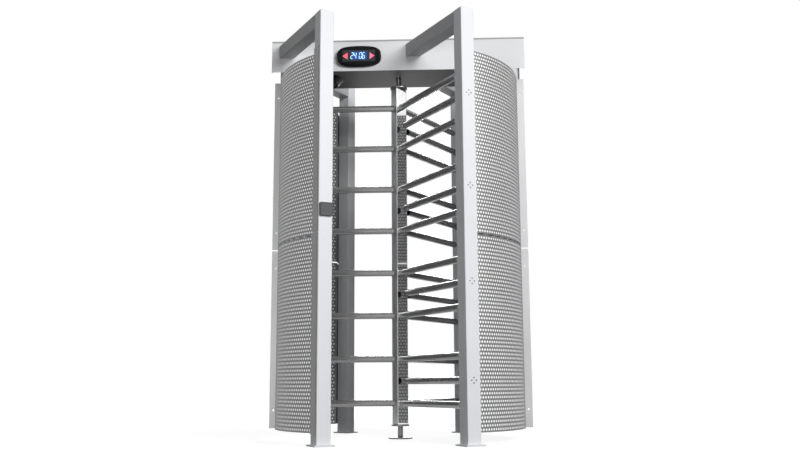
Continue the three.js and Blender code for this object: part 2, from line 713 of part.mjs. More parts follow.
// The pinion is cut on its own shaft, which runs down into the motor's nose
const MOTOR_TOP = TRAY_BED + SEAT_GAP + MOTOR_HEIGHT;
const PINION_SHAFT_LENGTH = GEAR_BED - MOTOR_TOP + SHAFT_ENGAGEMENT;
function motorPinion() {
  const shaft = rod(MOTOR_SHAFT_RADIUS, PINION_SHAFT_LENGTH + GEAR_THICKNESS + HUB_HEIGHT, TUBE_SIDES);
  return joined(
    plate(gearOutline(PINION_TEETH), GEAR_THICKNESS),
    rod(2 * MOTOR_SHAFT_RADIUS, GEAR_THICKNESS + HUB_HEIGHT / 2, TUBE_SIDES),
    shaft.translate(0, 0, -PINION_SHAFT_LENGTH),
  );
}
add("motor_pinion", motorPinion(), BEARING_BRONZE, MOTOR_X, 0, GEAR_BED, Math.PI / PINION_TEETH);

// Gear motor: foot, can and the nose that holds the shaft
function gearMotor() {
  const bore = rod(MOTOR_SHAFT_RADIUS + RUNNING_GAP, SHAFT_ENGAGEMENT + CUT_OVERRUN, TUBE_SIDES);
  const can = joined(
    block(MOTOR_FOOT_SIZE, MOTOR_FOOT_SIZE, MOTOR_FOOT),
    rod(MOTOR_RADIUS, MOTOR_HEIGHT, FINE_SIDES),
  );
  return cut(can, bore.translate(0, 0, MOTOR_HEIGHT - SHAFT_ENGAGEMENT - RUNNING_GAP));
}
add("gear_motor", gearMotor(), MOTOR_PAINT, MOTOR_X, 0, TRAY_BED + SEAT_GAP);

// Lock pawls: nose by the disc, tail by the plunger, drawn for the front one and turned over for the back
function lockPawl() {
  const half = PAWL_WIDTH / 2;
  const noseX = PAWL_NOSE_LEAD - PAWL_PIVOT_X;
  const noseTip = PAWL_PIVOT_Y - LOCK_DISC_RADIUS - PAWL_NOSE_GAP;
  const outline = [
    new THREE.Vector2(-PAWL_TAIL - half, -half),
    new THREE.Vector2(noseX + PAWL_NOSE_WIDTH / 2, -half),
    new THREE.Vector2(noseX + PAWL_NOSE_WIDTH / 2, noseTip),
    new THREE.Vector2(noseX - PAWL_NOSE_WIDTH / 2, noseTip),
    new THREE.Vector2(noseX - PAWL_NOSE_WIDTH / 2, half),
    new THREE.Vector2(-PAWL_TAIL - half, half),
  ];
  const boss = rod(PAWL_WIDTH, LOCK_DISC_THICKNESS, TUBE_SIDES);
  const bore = rod(PAWL_PIN_RADIUS + RUNNING_GAP, LOCK_DISC_THICKNESS + 2 * CUT_OVERRUN, SMALL_SIDES);
  return cut(joined(plate(outline, LOCK_DISC_THICKNESS), boss), bore.translate(0, 0, -CUT_OVERRUN));
}

// Plunger: a round bar with a domed head, its head at the origin and its length along -Y
function plunger() {
  return turned(
    [
      [0, -PLUNGER_LENGTH],
      [PLUNGER_RADIUS, -PLUNGER_LENGTH],
      [PLUNGER_RADIUS, -PLUNGER_RADIUS / 2],
      [PLUNGER_RADIUS / 2, 0],
      [0, 0],
    ],
    SMALL_SIDES,
  ).rotateX(-Math.PI / 2);
}

function solenoid() {
  const axis = LOCK_DISC_BED + LOCK_DISC_THICKNESS / 2 - TRAY_BED - SEAT_GAP;
  const bore = rod(PLUNGER_RADIUS + RUNNING_GAP, SOLENOID_SIZE + 2 * CUT_OVERRUN, SMALL_SIDES);
  return cut(
    block(SOLENOID_SIZE, SOLENOID_SIZE, axis + SOLENOID_SIZE / 2),
    bore.rotateX(Math.PI / 2).translate(0, SOLENOID_SIZE / 2 + CUT_OVERRUN, axis),
  );
}

const PLUNGER_X = PAWL_PIVOT_X - PAWL_TAIL;
const PLUNGER_HEAD_Y = PAWL_PIVOT_Y + PAWL_WIDTH / 2 + PLUNGER_GAP;
const SOLENOID_Y = PLUNGER_HEAD_Y + SOLENOID_SETBACK + SOLENOID_SIZE / 2;
for (const [end, across] of [["front", -1], ["back", 1]]) {
  const pawl = lockPawl();
  const bar = geometryOf(solidOf(plunger()));
  if (across > 0) {
    pawl.rotateX(Math.PI).translate(0, 0, LOCK_DISC_THICKNESS);
    bar.rotateZ(Math.PI);
  }
  add(`lock_pawl_${end}`, pawl, MACHINED_STEEL, PAWL_PIVOT_X, across * PAWL_PIVOT_Y, LOCK_DISC_BED);
  const plungerZ = LOCK_DISC_BED + LOCK_DISC_THICKNESS / 2;
  add(`plunger_${end}`, bar, POLISHED_STEEL, PLUNGER_X, across * PLUNGER_HEAD_Y, plungerZ);
  add(`solenoid_${end}`, solenoid(), MOTOR_PAINT, PLUNGER_X, across * SOLENOID_Y, TRAY_BED + SEAT_GAP);
}

// Control board on four standoffs, with its supply block
function controlBoard() {
  const x = BOARD_LENGTH / 2 - STANDOFF_INSET;
  const y = BOARD_WIDTH / 2 - STANDOFF_INSET;
  const standoffs = [[x, y], [-x, y], [-x, -y], [x, -y]].map(([px, py]) =>
    rod(STANDOFF_RADIUS, STANDOFF_HEIGHT + BOARD_SHEET / 2, SMALL_SIDES).translate(px, py, 0),
  );
  const sheet = block(BOARD_LENGTH, BOARD_WIDTH, BOARD_SHEET).translate(0, 0, STANDOFF_HEIGHT);
  const supply = block(SUPPLY_LENGTH, SUPPLY_WIDTH, SUPPLY_HEIGHT);
  return joined(sheet, supply.translate(0, 0, STANDOFF_HEIGHT + BOARD_SHEET / 2), ...standoffs);
}
add("control_board", controlBoard(), BOARD_GREEN, BOARD_X, 0, TRAY_BED + SEAT_GAP);

// Display: an oval housing on the front fascia with a dark screen in its recess
function displayShape() {
  const shape = new THREE.Shape();
  const points = Array.from({ length: FINE_SIDES }, (_, i) => {
    const angle = (2 * Math.PI * i) / FINE_SIDES;
    const swell = (value) => Math.sign(value) * Math.abs(value) ** (2 / DISPLAY_POWER);
    const x = (DISPLAY_LENGTH / 2 - DISPLAY_BEVEL) * swell(Math.cos(angle));
    const y = (DISPLAY_HEIGHT / 2 - DISPLAY_BEVEL) * swell(Math.sin(angle));
    return new THREE.Vector2(x, y);
  });
  shape.setFromPoints(points);
  return shape;
}

function displayHousing() {
  const body = new THREE.ExtrudeGeometry(displayShape(), {
    depth: DISPLAY_DEPTH - DISPLAY_BEVEL,
    bevelThickness: DISPLAY_BEVEL,
    bevelSize: DISPLAY_BEVEL,
    bevelSegments: 2,
  });
  const behind = block(DISPLAY_LENGTH + CUT_OVERRUN, DISPLAY_HEIGHT + CUT_OVERRUN, DISPLAY_DEPTH);
  const pocketDepth = SCREEN_THICKNESS + SCREEN_RECESS + SEAT_GAP;
  const pocket = block(SCREEN_LENGTH + 2 * SEAT_GAP, SCREEN_HEIGHT + 2 * SEAT_GAP, DISPLAY_DEPTH);
  return cut(
    body,
    behind.translate(0, 0, -DISPLAY_DEPTH),
    pocket.translate(0, 0, DISPLAY_DEPTH - pocketDepth),
  );
}

const DISPLAY_Z = HEADER_TOP - DISPLAY_DROP;
const DISPLAY_BACK = -HEADER_DEPTH / 2 - SEAT_GAP;
const SCREEN_BACK = DISPLAY_BACK - DISPLAY_DEPTH + SCREEN_RECESS + SCREEN_THICKNESS;
const onFascia = (geometry) => geometry.rotateX(Math.PI / 2);
add("display_housing", onFascia(displayHousing()), DARK_PLASTIC, DISPLAY_X, DISPLAY_BACK, DISPLAY_Z);
const screen = geometryOf(solidOf(block(SCREEN_LENGTH, SCREEN_HEIGHT, SCREEN_THICKNESS)));
add("display_screen", onFascia(screen), SCREEN_GLASS, DISPLAY_X, SCREEN_BACK, DISPLAY_Z);

// Card reader on the front left post's front face
function cardReader() {
  const inner = READER_SIZE - 2 * READER_BEVEL;
  return new THREE.ExtrudeGeometry(roundedRectangle(inner, inner, READER_CORNER - READER_BEVEL), {
    depth: READER_DEPTH - 2 * READER_BEVEL,
    bevelThickness: READER_BEVEL,
    bevelSize: READER_BEVEL,
    bevelSegments: 1,
    curveSegments: 3,
  })
    .translate(0, 0, READER_BEVEL)
    .rotateX(Math.PI / 2);
}
const readerCorner = CORNERS[0];
const readerSpot = postPoint(readerCorner, 0, -POST_HALF - SEAT_GAP);
add(
  "card_reader",
  geometryOf(solidOf(cardReader())),
  READER_PLASTIC,
  readerSpot.x,
  readerSpot.y,
  READER_HEIGHT,
  readerCorner.turn,
);

// Passage lamp under the header: a tapered ring with a recessed lens
function lampHousing() {
  const pocketDepth = LENS_THICKNESS + LENS_RECESS + SEAT_GAP;
  return turned(
    [
      [0, -LAMP_HEIGHT + pocketDepth],
      [LENS_RADIUS + SEAT_GAP, -LAMP_HEIGHT + pocketDepth],
      [LENS_RADIUS + SEAT_GAP, -LAMP_HEIGHT],
      [LAMP_FACE_RADIUS, -LAMP_HEIGHT],
      [LAMP_RADIUS, 0],
      [0, 0],
    ],
    FINE_SIDES,
  );
}
const LAMP_TOP = HEADER_UNDERSIDE - SEAT_GAP;
const LENS_BOTTOM = LAMP_TOP - LAMP_HEIGHT + LENS_RECESS;
const lens = geometryOf(solidOf(rod(LENS_RADIUS, LENS_THICKNESS, FINE_SIDES)));
add("lamp_housing", geometryOf(solidOf(lampHousing())), DARK_PLASTIC, LAMP_X, 0, LAMP_TOP);
add("lamp_lens", lens, LAMP_GLASS, LAMP_X, 0, LENS_BOTTOM);

export default root;
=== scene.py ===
# Full height turnstile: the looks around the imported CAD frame. Metres, +Z up, the display side faces -Y.
import bpy
import math
from mathutils import Matrix, Vector


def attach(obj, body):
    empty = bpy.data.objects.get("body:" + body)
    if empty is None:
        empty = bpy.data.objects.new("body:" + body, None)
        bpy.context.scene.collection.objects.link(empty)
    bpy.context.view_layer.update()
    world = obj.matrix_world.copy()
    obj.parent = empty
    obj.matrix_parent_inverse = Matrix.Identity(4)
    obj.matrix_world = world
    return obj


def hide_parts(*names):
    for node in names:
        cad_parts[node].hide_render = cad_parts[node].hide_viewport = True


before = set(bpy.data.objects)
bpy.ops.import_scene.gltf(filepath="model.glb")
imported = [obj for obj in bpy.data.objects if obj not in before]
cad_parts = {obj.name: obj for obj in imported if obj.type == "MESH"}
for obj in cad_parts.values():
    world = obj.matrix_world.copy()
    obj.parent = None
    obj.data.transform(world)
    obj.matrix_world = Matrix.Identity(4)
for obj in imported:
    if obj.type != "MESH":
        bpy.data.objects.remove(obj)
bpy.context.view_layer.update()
print("frame loaded:", len(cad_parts), "CAD nodes")

mm = 0.001
xAxis, yAxis, zAxis = range(3)
near = 0.1 * mm  # points this close count as one
rimDepth = 1 * mm  # edges this close to an end face are its rim
facing = 0.9  # a face looks along an axis if its normal has this share of it
almostOne = 0.999
overrun = 20 * mm  # about how far a cutter stands out of the piece

# Camera, solved from the photograph's straight edges
camera = {
    "place": (0.21443, -5.4601, 0.3118),
    "yaw": -0.03861,
    "pitch": 0.16965,
    "roll": -0.00516,
    "lens": 41.69,
    "sensor": 36,
    "sight": 500,
}


def aimCamera():
    deselectAll()
    bpy.ops.object.camera_add(location=camera["place"])
    item = newest("photoCamera")
    yaw, pitch, roll = camera["yaw"], camera["pitch"], camera["roll"]
    ahead = Vector((math.sin(yaw) * math.cos(pitch), math.cos(yaw) * math.cos(pitch), math.sin(pitch)))
    level = Vector((math.cos(yaw), -math.sin(yaw), 0))
    upwards = level.cross(ahead)
    right = level * math.cos(roll) + upwards * math.sin(roll)
    up = upwards * math.cos(roll) - level * math.sin(roll)
    turn = Matrix((right, up, -ahead)).transposed().to_4x4()
    item.matrix_world = Matrix.Translation(camera["place"]) @ turn
    item.data.sensor_width = camera["sensor"]
    item.data.sensor_fit = "HORIZONTAL"
    item.data.lens = camera["lens"]
    item.data.clip_end = camera["sight"]
    bpy.context.scene.camera = item


# Selecting, naming and removing
def toObjectMode():
    bpy.ops.object.mode_set(mode="OBJECT")


def deselectAll():
    if bpy.context.mode != "OBJECT":
        toObjectMode()
    bpy.ops.object.select_all(action="DESELECT")


def pick(*items):
    deselectAll()
    for item in items:
        item.select_set(True)
    bpy.context.view_layer.objects.active = items[0]


def editAll(item):
    pick(item)
    bpy.ops.object.mode_set(mode="EDIT")
    bpy.ops.mesh.select_all(action="SELECT")


def newest(name):
    # the object that the last operator added
    item = bpy.context.object
    item.name = name
    return item


def settle(item):
    # the place goes into the mesh, so the object sits at the origin
    pick(item)
    bpy.ops.object.transform_apply(location=True, rotation=True, scale=True)
    return item


def drop(*items):
    for item in items:
        bpy.data.objects.remove(item, do_unlink=True)


def selectParts(item, kind, wanted):
    # kind is vertices, edges or polygons, and wanted is a test on one of them
    pick(item)
    mode = {"vertices": "VERT", "edges": "EDGE", "polygons": "FACE"}[kind]
    chosen = [part.index for part in getattr(item.data, kind) if wanted(part)]
    bpy.ops.object.mode_set(mode="EDIT")
    bpy.ops.mesh.select_mode(type=mode)
    bpy.ops.mesh.select_all(action="DESELECT")
    toObjectMode()
    for i in chosen:
        getattr(item.data, kind)[i].select = True
    bpy.ops.object.mode_set(mode="EDIT")


# Forms to start from
def addBlock(name, centre, size):
    deselectAll()
    bpy.ops.mesh.primitive_cube_add(size=1, location=centre)
    item = newest(name)
    item.scale = size
    return settle(item)


def addRod(name, start, end, radius, sides=32, endRadius=None):
    deselectAll()
    start, end = Vector(start), Vector(end)
    reach = end - start
    bpy.ops.mesh.primitive_cone_add(
        vertices=sides,
        radius1=radius,
        radius2=radius if endRadius is None else endRadius,
        depth=reach.length,
        location=(start + end) / 2,
        rotation=reach.to_track_quat("Z", "Y").to_euler(),
    )
    return settle(newest(name))


def addRing(name, centre, towards, radius, thickness, sides=32):
    deselectAll()
    bpy.ops.mesh.primitive_torus_add(
        location=centre,
        rotation=Vector(towards).to_track_quat("Z", "Y").to_euler(),
        major_radius=radius,
        minor_radius=thickness,
        major_segments=sides,
        minor_segments=10,
    )
    return settle(newest(name))


def addGrid(name, centre, width, height, columns, rows):
    # a flat grid that stands in the XZ plane
    deselectAll()
    bpy.ops.mesh.primitive_grid_add(
        x_subdivisions=columns,
        y_subdivisions=rows,
        size=1,
        rotation=(math.pi / 2, 0, 0),
    )
    item = newest(name)
    item.scale = (width, height, 1)
    item.location = centre
    return settle(item)


def copyPiece(item, name, matrix=Matrix.Identity(4)):
    twin = item.copy()
    twin.data = item.data.copy()
    twin.name = name
    bpy.context.collection.objects.link(twin)
    twin.matrix_world = matrix
    return settle(twin)


def joinPieces(name, *items):
    pick(*items)
    bpy.ops.object.join()
    items[0].name = name
    return items[0]


# Changes to a form
def bevelWhere(item, wanted, width, segments):
    selectParts(item, "edges", wanted)
    bpy.ops.mesh.bevel(offset=width, segments=segments, affect="EDGES")
    toObjectMode()


def bevelAlong(item, axis, width, segments):
    # rounds the edges that run along a main axis
    def runsAlong(edge):
        a, b = (item.data.vertices[i].co for i in edge.vertices)
        return abs((b - a).normalized()[axis]) > almostOne

    bevelWhere(item, runsAlong, width, segments)


def bevelRim(item, axis, end, width, segments):
    # rounds the rim of the face that closes the piece at this place on the axis
    def onRim(edge):
        return all(abs(item.data.vertices[i].co[axis] - end) < rimDepth for i in edge.vertices)

    bevelWhere(item, onRim, width, segments)


def sinkFace(item, wanted, border, step, move):
    # insets a face twice and moves the inner one
    selectParts(item, "polygons", wanted)
    bpy.ops.mesh.inset(thickness=border)
    bpy.ops.mesh.inset(thickness=step)
    bpy.ops.transform.translate(value=move)
    toObjectMode()


def deleteFaces(item, wanted):
    selectParts(item, "polygons", wanted)
    bpy.ops.mesh.delete(type="FACE")
    toObjectMode()


def applyModifier(item, kind, **settings):
    pick(item)
    modifier = item.modifiers.new(kind.lower(), kind)
    for setting, value in settings.items():
        setattr(modifier, setting, value)
    bpy.ops.object.modifier_apply(modifier=modifier.name)
    return item


def softenEdges(item, width, segments=2, angle=40):
    limit = math.radians(angle)
    return applyModifier(
        item, "BEVEL", width=width, segments=segments, limit_method="ANGLE", angle_limit=limit
    )


def combine(item, other, operation):
    applyModifier(item, "BOOLEAN", operation=operation, solver="EXACT", object=other)
    drop(other)


def carve(item, cutter):
    combine(item, cutter, "DIFFERENCE")


def thicken(item, thickness, offset):
    return applyModifier(item, "SOLIDIFY", thickness=thickness, offset=offset, use_even_offset=True)


def repeat(item, count, step):
    applyModifier(
        item,
        "ARRAY",
        count=count,
        use_relative_offset=False,
        use_constant_offset=True,
        constant_offset_displace=step,
        use_merge_vertices=True,
        merge_threshold=near,
    )


def mergeClose(item):
    editAll(item)
    bpy.ops.mesh.remove_doubles(threshold=near)
    toObjectMode()


def faceOutwards(item):
    editAll(item)
    bpy.ops.mesh.normals_make_consistent(inside=False)
    toObjectMode()


def finishPiece(item, body, material, nodes=(), angle=35, flats=True):
    pick(item)
    bpy.ops.object.shade_smooth_by_angle(angle=math.radians(angle))
    if flats:
        # broad flat faces keep their own normals, so they shine as flats
        applyModifier(item, "WEIGHTED_NORMAL", keep_sharp=True, weight=100)
    item.data.materials.clear()
    item.data.materials.append(material)
    if nodes:
        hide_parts(*nodes)
    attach(item, body)


# Materials, all on Object coordinates
texture = {
    "cloud": 3,  # scale of the soft changes of tone
    "cloudDetail": 3,
    "grainDetail": 4,
    "grainShare": 0.5,
    "roughness": 0.6,
    "range": (0.3, 0.7),  # where most of the noise lies
    "bumpDepth": 0.5 * mm,
    "specular": 0.5,
}


def linkUp(tree, *pairs):
    for source, target in pairs:
        tree.links.new(source, target)


def newMaterial(name):
    material = bpy.data.materials.new(name)
    material.use_nodes = True
    return material, material.node_tree, material.node_tree.nodes["Principled BSDF"]


def objectCoords(tree):
    return tree.nodes.new("ShaderNodeTexCoord").outputs["Object"]


def addMath(tree, operation, second=None):
    node = tree.nodes.new("ShaderNodeMath")
    node.operation = operation
    if second is not None:
        node.inputs[1].default_value = second
    return node


def addMix(tree, kind, **values):
    node = tree.nodes.new("ShaderNodeMix")
    node.data_type = kind
    for socket, value in values.items():
        node.inputs[socket].default_value = value
    return node


def addRange(tree, start, end, low=0, high=1):
    node = tree.nodes.new("ShaderNodeMapRange")
    for socket, value in (("From Min", start), ("From Max", end), ("To Min", low), ("To Max", high)):
        node.inputs[socket].default_value = value
    return node


def noiseOn(tree, coords, stretch, scale, detail):
    mapping = tree.nodes.new("ShaderNodeMapping")
    mapping.inputs["Scale"].default_value = stretch
    noise = tree.nodes.new("ShaderNodeTexNoise")
    noise.inputs["Scale"].default_value = scale
    noise.inputs["Detail"].default_value = detail
    noise.inputs["Roughness"].default_value = texture["roughness"]
    linkUp(tree, (coords, mapping.inputs["Vector"]), (mapping.outputs["Vector"], noise.inputs["Vector"]))
    return noise.outputs["Fac"]


def ranged(tree, value, low, high):
    node = addRange(tree, *texture["range"], low, high)
    tree.links.new(value, node.inputs["Value"])
    return node.outputs["Result"]


def blendColours(tree, factor, first, second):
    node = addMix(tree, "RGBA", A=(*first, 1), B=(*second, 1))
    tree.links.new(factor, node.inputs["Factor"])
    return node.outputs["Result"]


def surface(name, look):
    # colour and shade are the light and the dark tone, and grain is the scale of the fine noise
    material, tree, shader = newMaterial(name)
    shader.inputs["Metallic"].default_value = look["metallic"]
    shader.inputs["Specular IOR Level"].default_value = look.get("specular", texture["specular"])
    coords = objectCoords(tree)
    grain = noiseOn(tree, coords, look["stretch"], look["grain"], texture["grainDetail"])
    cloud = noiseOn(tree, coords, even, texture["cloud"], texture["cloudDetail"])
    average = addMath(tree, "MULTIPLY_ADD", texture["grainShare"])
    rest = addMath(tree, "MULTIPLY", 1 - texture["grainShare"])
    linkUp(tree, (cloud, rest.inputs[0]), (grain, average.inputs[0]), (rest.outputs[0], average.inputs[2]))
    tone = ranged(tree, average.outputs[0], 0, 1)
    linkUp(
        tree,
        (blendColours(tree, tone, look["shade"], look["colour"]), shader.inputs["Base Color"]),
        (ranged(tree, average.outputs[0], *look["roughness"]), shader.inputs["Roughness"]),
    )
    bump = tree.nodes.new("ShaderNodeBump")
    bump.inputs["Strength"].default_value = look["bump"]
    bump.inputs["Distance"].default_value = texture["bumpDepth"]
    linkUp(tree, (grain, bump.inputs["Height"]), (bump.outputs["Normal"], shader.inputs["Normal"]))
    return material


upright = (260, 260, 4)
sideways = (4, 260, 260)
even = (1, 1, 1)
looks = {
    "satinSteel": dict(
        colour=(0.80, 0.81, 0.83), shade=(0.75, 0.76, 0.78), metallic=0.0, roughness=(0.36, 0.48),
        stretch=upright, grain=1, bump=0.06, specular=0.3,
    ),
    # the posts' satin steel painted darker, as painted shade: it keeps the overhead arms and the lid darker
    # than the posts
    "tubeSteelPaintedShade": dict(
        colour=(0.47, 0.475, 0.485), shade=(0.42, 0.425, 0.435), metallic=0.0, roughness=(0.36, 0.48),
        stretch=even, grain=120, bump=0.05, specular=0.2,
    ),
    # the posts' satin steel painted lighter for the fascias, as painted light
    "fasciaSteelPaintedLight": dict(
        colour=(0.87, 0.875, 0.89), shade=(0.83, 0.835, 0.85), metallic=0.0, roughness=(0.36, 0.48),
        stretch=sideways, grain=1, bump=0.06, specular=0.3,
    ),
    # near black steel for the header tray, as painted shade under the header
    "trayPaintedShade": dict(
        colour=(0.165, 0.165, 0.17), shade=(0.13, 0.13, 0.135), metallic=0.0, roughness=(0.4, 0.5),
        stretch=sideways, grain=1, bump=0.05, specular=0.2,
    ),
    "shellSteel": dict(
        colour=(0.21, 0.21, 0.21), shade=(0.17, 0.17, 0.17), metallic=0.85, roughness=(0.4, 0.55),
        stretch=even, grain=120, bump=0.08,
    ),
    "shellLiner": dict(
        colour=(0.85, 0.85, 0.85), shade=(0.80, 0.80, 0.80), metallic=0.66, roughness=(0.4, 0.5),
        stretch=even, grain=60, bump=0.02,
    ),
    "flangeSteel": dict(
        colour=(0.59, 0.59, 0.60), shade=(0.53, 0.53, 0.54), metallic=0.35, roughness=(0.4, 0.5),
        stretch=even, grain=120, bump=0.06,
    ),
    "barSteel": dict(
        colour=(0.31, 0.31, 0.313), shade=(0.26, 0.26, 0.26), metallic=0.6, roughness=(0.2, 0.3),
        stretch=even, grain=160, bump=0.03,
    ),
    "columnSteel": dict(
        colour=(0.86, 0.865, 0.87), shade=(0.80, 0.805, 0.81), metallic=1.0, roughness=(0.03, 0.07),
        stretch=upright, grain=1, bump=0.01,
    ),
    "plateSteel": dict(
        colour=(0.26, 0.26, 0.27), shade=(0.20, 0.20, 0.205), metallic=0.6, roughness=(0.3, 0.42),
        stretch=even, grain=200, bump=0.08,
    ),
    "bearingBronze": dict(
        colour=(0.52, 0.32, 0.12), shade=(0.4, 0.23, 0.08), metallic=0.9, roughness=(0.3, 0.42),
        stretch=even, grain=200, bump=0.06,
    ),
    "motorPaint": dict(
        colour=(0.035, 0.038, 0.045), shade=(0.025, 0.027, 0.032), metallic=0.0, roughness=(0.42, 0.55),
        stretch=even, grain=260, bump=0.2,
    ),
    "boardGreen": dict(
        colour=(0.02, 0.10, 0.045), shade=(0.012, 0.07, 0.03), metallic=0.0, roughness=(0.4, 0.55),
        stretch=even, grain=180, bump=0.1,
    ),
    "blackPlastic": dict(
        colour=(0.010, 0.010, 0.011), shade=(0.005, 0.005, 0.006), metallic=0.0, roughness=(0.3, 0.42),
        stretch=even, grain=400, bump=0.12, specular=0.08,
    ),
    "readerPlastic": dict(
        colour=(0.062, 0.064, 0.068), shade=(0.046, 0.048, 0.05), metallic=0.0, roughness=(0.4, 0.52),
        stretch=even, grain=420, bump=0.2, specular=0.3,
    ),
    "lampCover": dict(
        colour=(0.022, 0.022, 0.023), shade=(0.014, 0.014, 0.015), metallic=0.0, roughness=(0.25, 0.35),
        stretch=even, grain=140, bump=0.1,
    ),
}
paints = {name: surface(name, look) for name, look in looks.items()}
print("materials:", len(paints))

# Sizes shared by the pieces, as in the CAD model
plan = {
    "postCircle": 761 * mm,
    "postAngle": math.radians(60),
    "turn": math.radians(30),
    "postSize": 80 * mm,
    "postHeight": 2323 * mm,
    "seat": 0.3 * mm,
    "headerFace": 165.5 * mm,
    "headerBottom": 2158 * mm,
    "headerTop": 2341 * mm,
}
corners = {"FrontLeft": (-1, -1), "FrontRight": (1, -1), "BackLeft": (-1, 1), "BackRight": (1, 1)}
ends = {"Front": -1, "Back": 1}


def nodeName(words, corner):
    end, side = ("front" if "Front" in corner else "back"), ("left" if "Left" in corner else "right")
    return words.format(end=end, side=side)


def turnedBy(angle):
    return Matrix.Rotation(angle, 4, "Z")


def postMatrix(corner):
    along, across = corners[corner]
    place = Vector((along * math.cos(plan["postAngle"]), across * math.sin(plan["postAngle"]), 0))
    return Matrix.Translation(place * plan["postCircle"]) @ turnedBy(-across * plan["turn"])


# Posts
post = {
    "corner": 5 * mm,
    "cornerSteps": 5,
    "edge": 1.2 * mm,
    "foot": 115 * mm,
    "footThickness": 8 * mm,
    "footCorner": 4 * mm,
    "footEdge": 1 * mm,
    "weld": 3 * mm,
    "weldRound": 2.7 * mm,
}


def makePosts():
    size, height, thickness = plan["postSize"], plan["postHeight"], post["footThickness"]
    tube = addBlock("post", (0, 0, (height + thickness) / 2), (size, size, height - thickness))
    bevelAlong(tube, zAxis, post["corner"], post["cornerSteps"])
    softenEdges(tube, post["edge"])
    foot = addBlock("foot", (0, 0, thickness / 2), (post["foot"], post["foot"], thickness))
    bevelAlong(foot, zAxis, post["footCorner"], 3)
    softenEdges(foot, post["footEdge"])
    weldSize = size + 2 * post["weld"]
    weld = addBlock("weld", (0, 0, thickness + post["weld"] / 2), (weldSize, weldSize, post["weld"]))
    bevelAlong(weld, zAxis, post["corner"], post["cornerSteps"])
    softenEdges(weld, post["weldRound"], 3)
    master = joinPieces("postMaster", tube, foot, weld)
    for corner in corners:
        piece = copyPiece(master, "post" + corner, postMatrix(corner))
        node = nodeName("post_{end}_{side}", corner)
        finishPiece(piece, "frame", paints["satinSteel"], [node])
    drop(master)


# Overhead arms, from each post to the header's face
overhead = {"length": 720 * mm}


def makeOverheadArms():
    size, reach = plan["postSize"], overhead["length"]
    run = size / 2 + plan["seat"] + reach / 2
    for corner, (along, across) in corners.items():
        middle = (0, -across * run, plan["postHeight"] - size / 2)
        arm = addBlock("overheadArm" + corner, middle, (size, reach, size))
        bevelAlong(arm, yAxis, post["corner"], post["cornerSteps"])
        arm.matrix_world = postMatrix(corner)
        editAll(settle(arm))
        bpy.ops.mesh.bisect(
            plane_co=(0, across * (plan["headerFace"] + plan["seat"]), 0),
            plane_no=(0, -across, 0),
            use_fill=True,
            clear_outer=True,
        )
        toObjectMode()
        node = nodeName("overhead_arm_{end}_{side}", corner)
        # the overhead arms take the steel painted darker, as painted shade
        finishPiece(arm, "frame", paints["tubeSteelPaintedShade"], [node])


# Header: two fascias, a lid, and the tray that stays as the CAD node
header = {
    "length": 1512 * mm,
    "returnDepth": 16 * mm,
    "sheet": 2.5 * mm,
    "edge": 0.8 * mm,
    "lid": 10 * mm,
    "lidSheet": 2 * mm,
    "lidEdge": 0.9 * mm,
}


def makeHeader():
    length, depth = header["length"], header["returnDepth"]
    height = plan["headerTop"] - plan["headerBottom"]
    for name, across in ends.items():
        middle = (0, across * (plan["headerFace"] - depth / 2), plan["headerBottom"] + height / 2)
        fascia = addBlock("fascia" + name, middle, (length, depth, height))
        deleteFaces(fascia, lambda f: abs(f.normal.z) > facing or f.normal.y * across < -facing)
        thicken(fascia, header["sheet"], -1)
        softenEdges(fascia, header["edge"])
        node = f"header_fascia_{name.lower()}"
        # the fascias take the steel painted lighter, as painted light
        finishPiece(fascia, "frame", paints["fasciaSteelPaintedLight"], [node])
    middle = (0, 0, plan["headerTop"] + plan["seat"] + header["lid"] / 2)
    lid = addBlock("headerLid", middle, (length, 2 * plan["headerFace"], header["lid"]))
    deleteFaces(lid, lambda f: f.normal.z < -facing)
    thicken(lid, header["lidSheet"], -1)
    softenEdges(lid, header["lidEdge"])
    # the lid's darker steel is painted shade, a dark line along the top of the header
    finishPiece(lid, "frame", paints["tubeSteelPaintedShade"], ["header_lid"])


# Perforated side shells, each with a pale liner
shell = {
    "radius": 717 * mm,
    "sheet": 2 * mm,
    "liner": 0.5 * mm,
    "bottom": 61 * mm,
    "top": 2120 * mm,
    "seam": 1100 * mm,
    "seamGap": 8 * mm,
    "rows": 50,
    "pitch": 19 * mm,
    "hole": 13.6 * mm,
    "cornerShare": 0.36,  # a hole's slanted corners lie this share of its size from its middle lines
    "insetShare": 0.1,
    "middleShare": 0.2,  # a hole's points nearer than this share of the tile lie on its middle line
    "sideMargin": 8 * mm,
    "edgeMargin": 4 * mm,
    "flange": 46 * mm,
    "flangeRise": 23 * mm,
    "flangeHole": 5 * mm,
    "topHoleInset": 72 * mm,
    "holeInset": 103 * mm,
    "drill": 20 * mm,
    "drillSides": 24,
    "postFlange": 66 * mm,
    "smooth": 30,
}


def postPoint(corner, aside, inwards):
    across = corners[corner][1]
    return postMatrix(corner) @ Vector((aside, -across * inwards, 0))


def shellRoute(corner):
    # the bent plan line: end angle of the arc, and the points after it
    seat = plan["postSize"] / 2 + plan["seat"] + shell["sheet"] / 2
    if "Left" in corner:
        bend = postPoint(corner, -seat, plan["postSize"] / 2)
        lastAngle = math.acos(abs(bend.x) / shell["radius"])
        tail = [bend, postPoint(corner, -seat, plan["postSize"] / 2 - shell["postFlange"])]
    else:
        lastAngle = plan["postAngle"] - math.asin(seat / shell["radius"])
        start = shell["radius"] * math.cos(math.asin(seat / shell["radius"]))
        tail = [postPoint(corner, seat, plan["postCircle"] - start - shell["postFlange"])]
    return lastAngle, tail


def arcPoint(corner, angle):
    along, across = corners[corner]
    radius = shell["radius"]
    return Vector((along * radius * math.cos(angle), across * radius * math.sin(angle), 0))


def growSheet(sheet, wanted, step):
    selectParts(sheet, "vertices", wanted)
    bpy.ops.mesh.extrude_region_move(TRANSFORM_OT_translate={"value": step})
    toObjectMode()


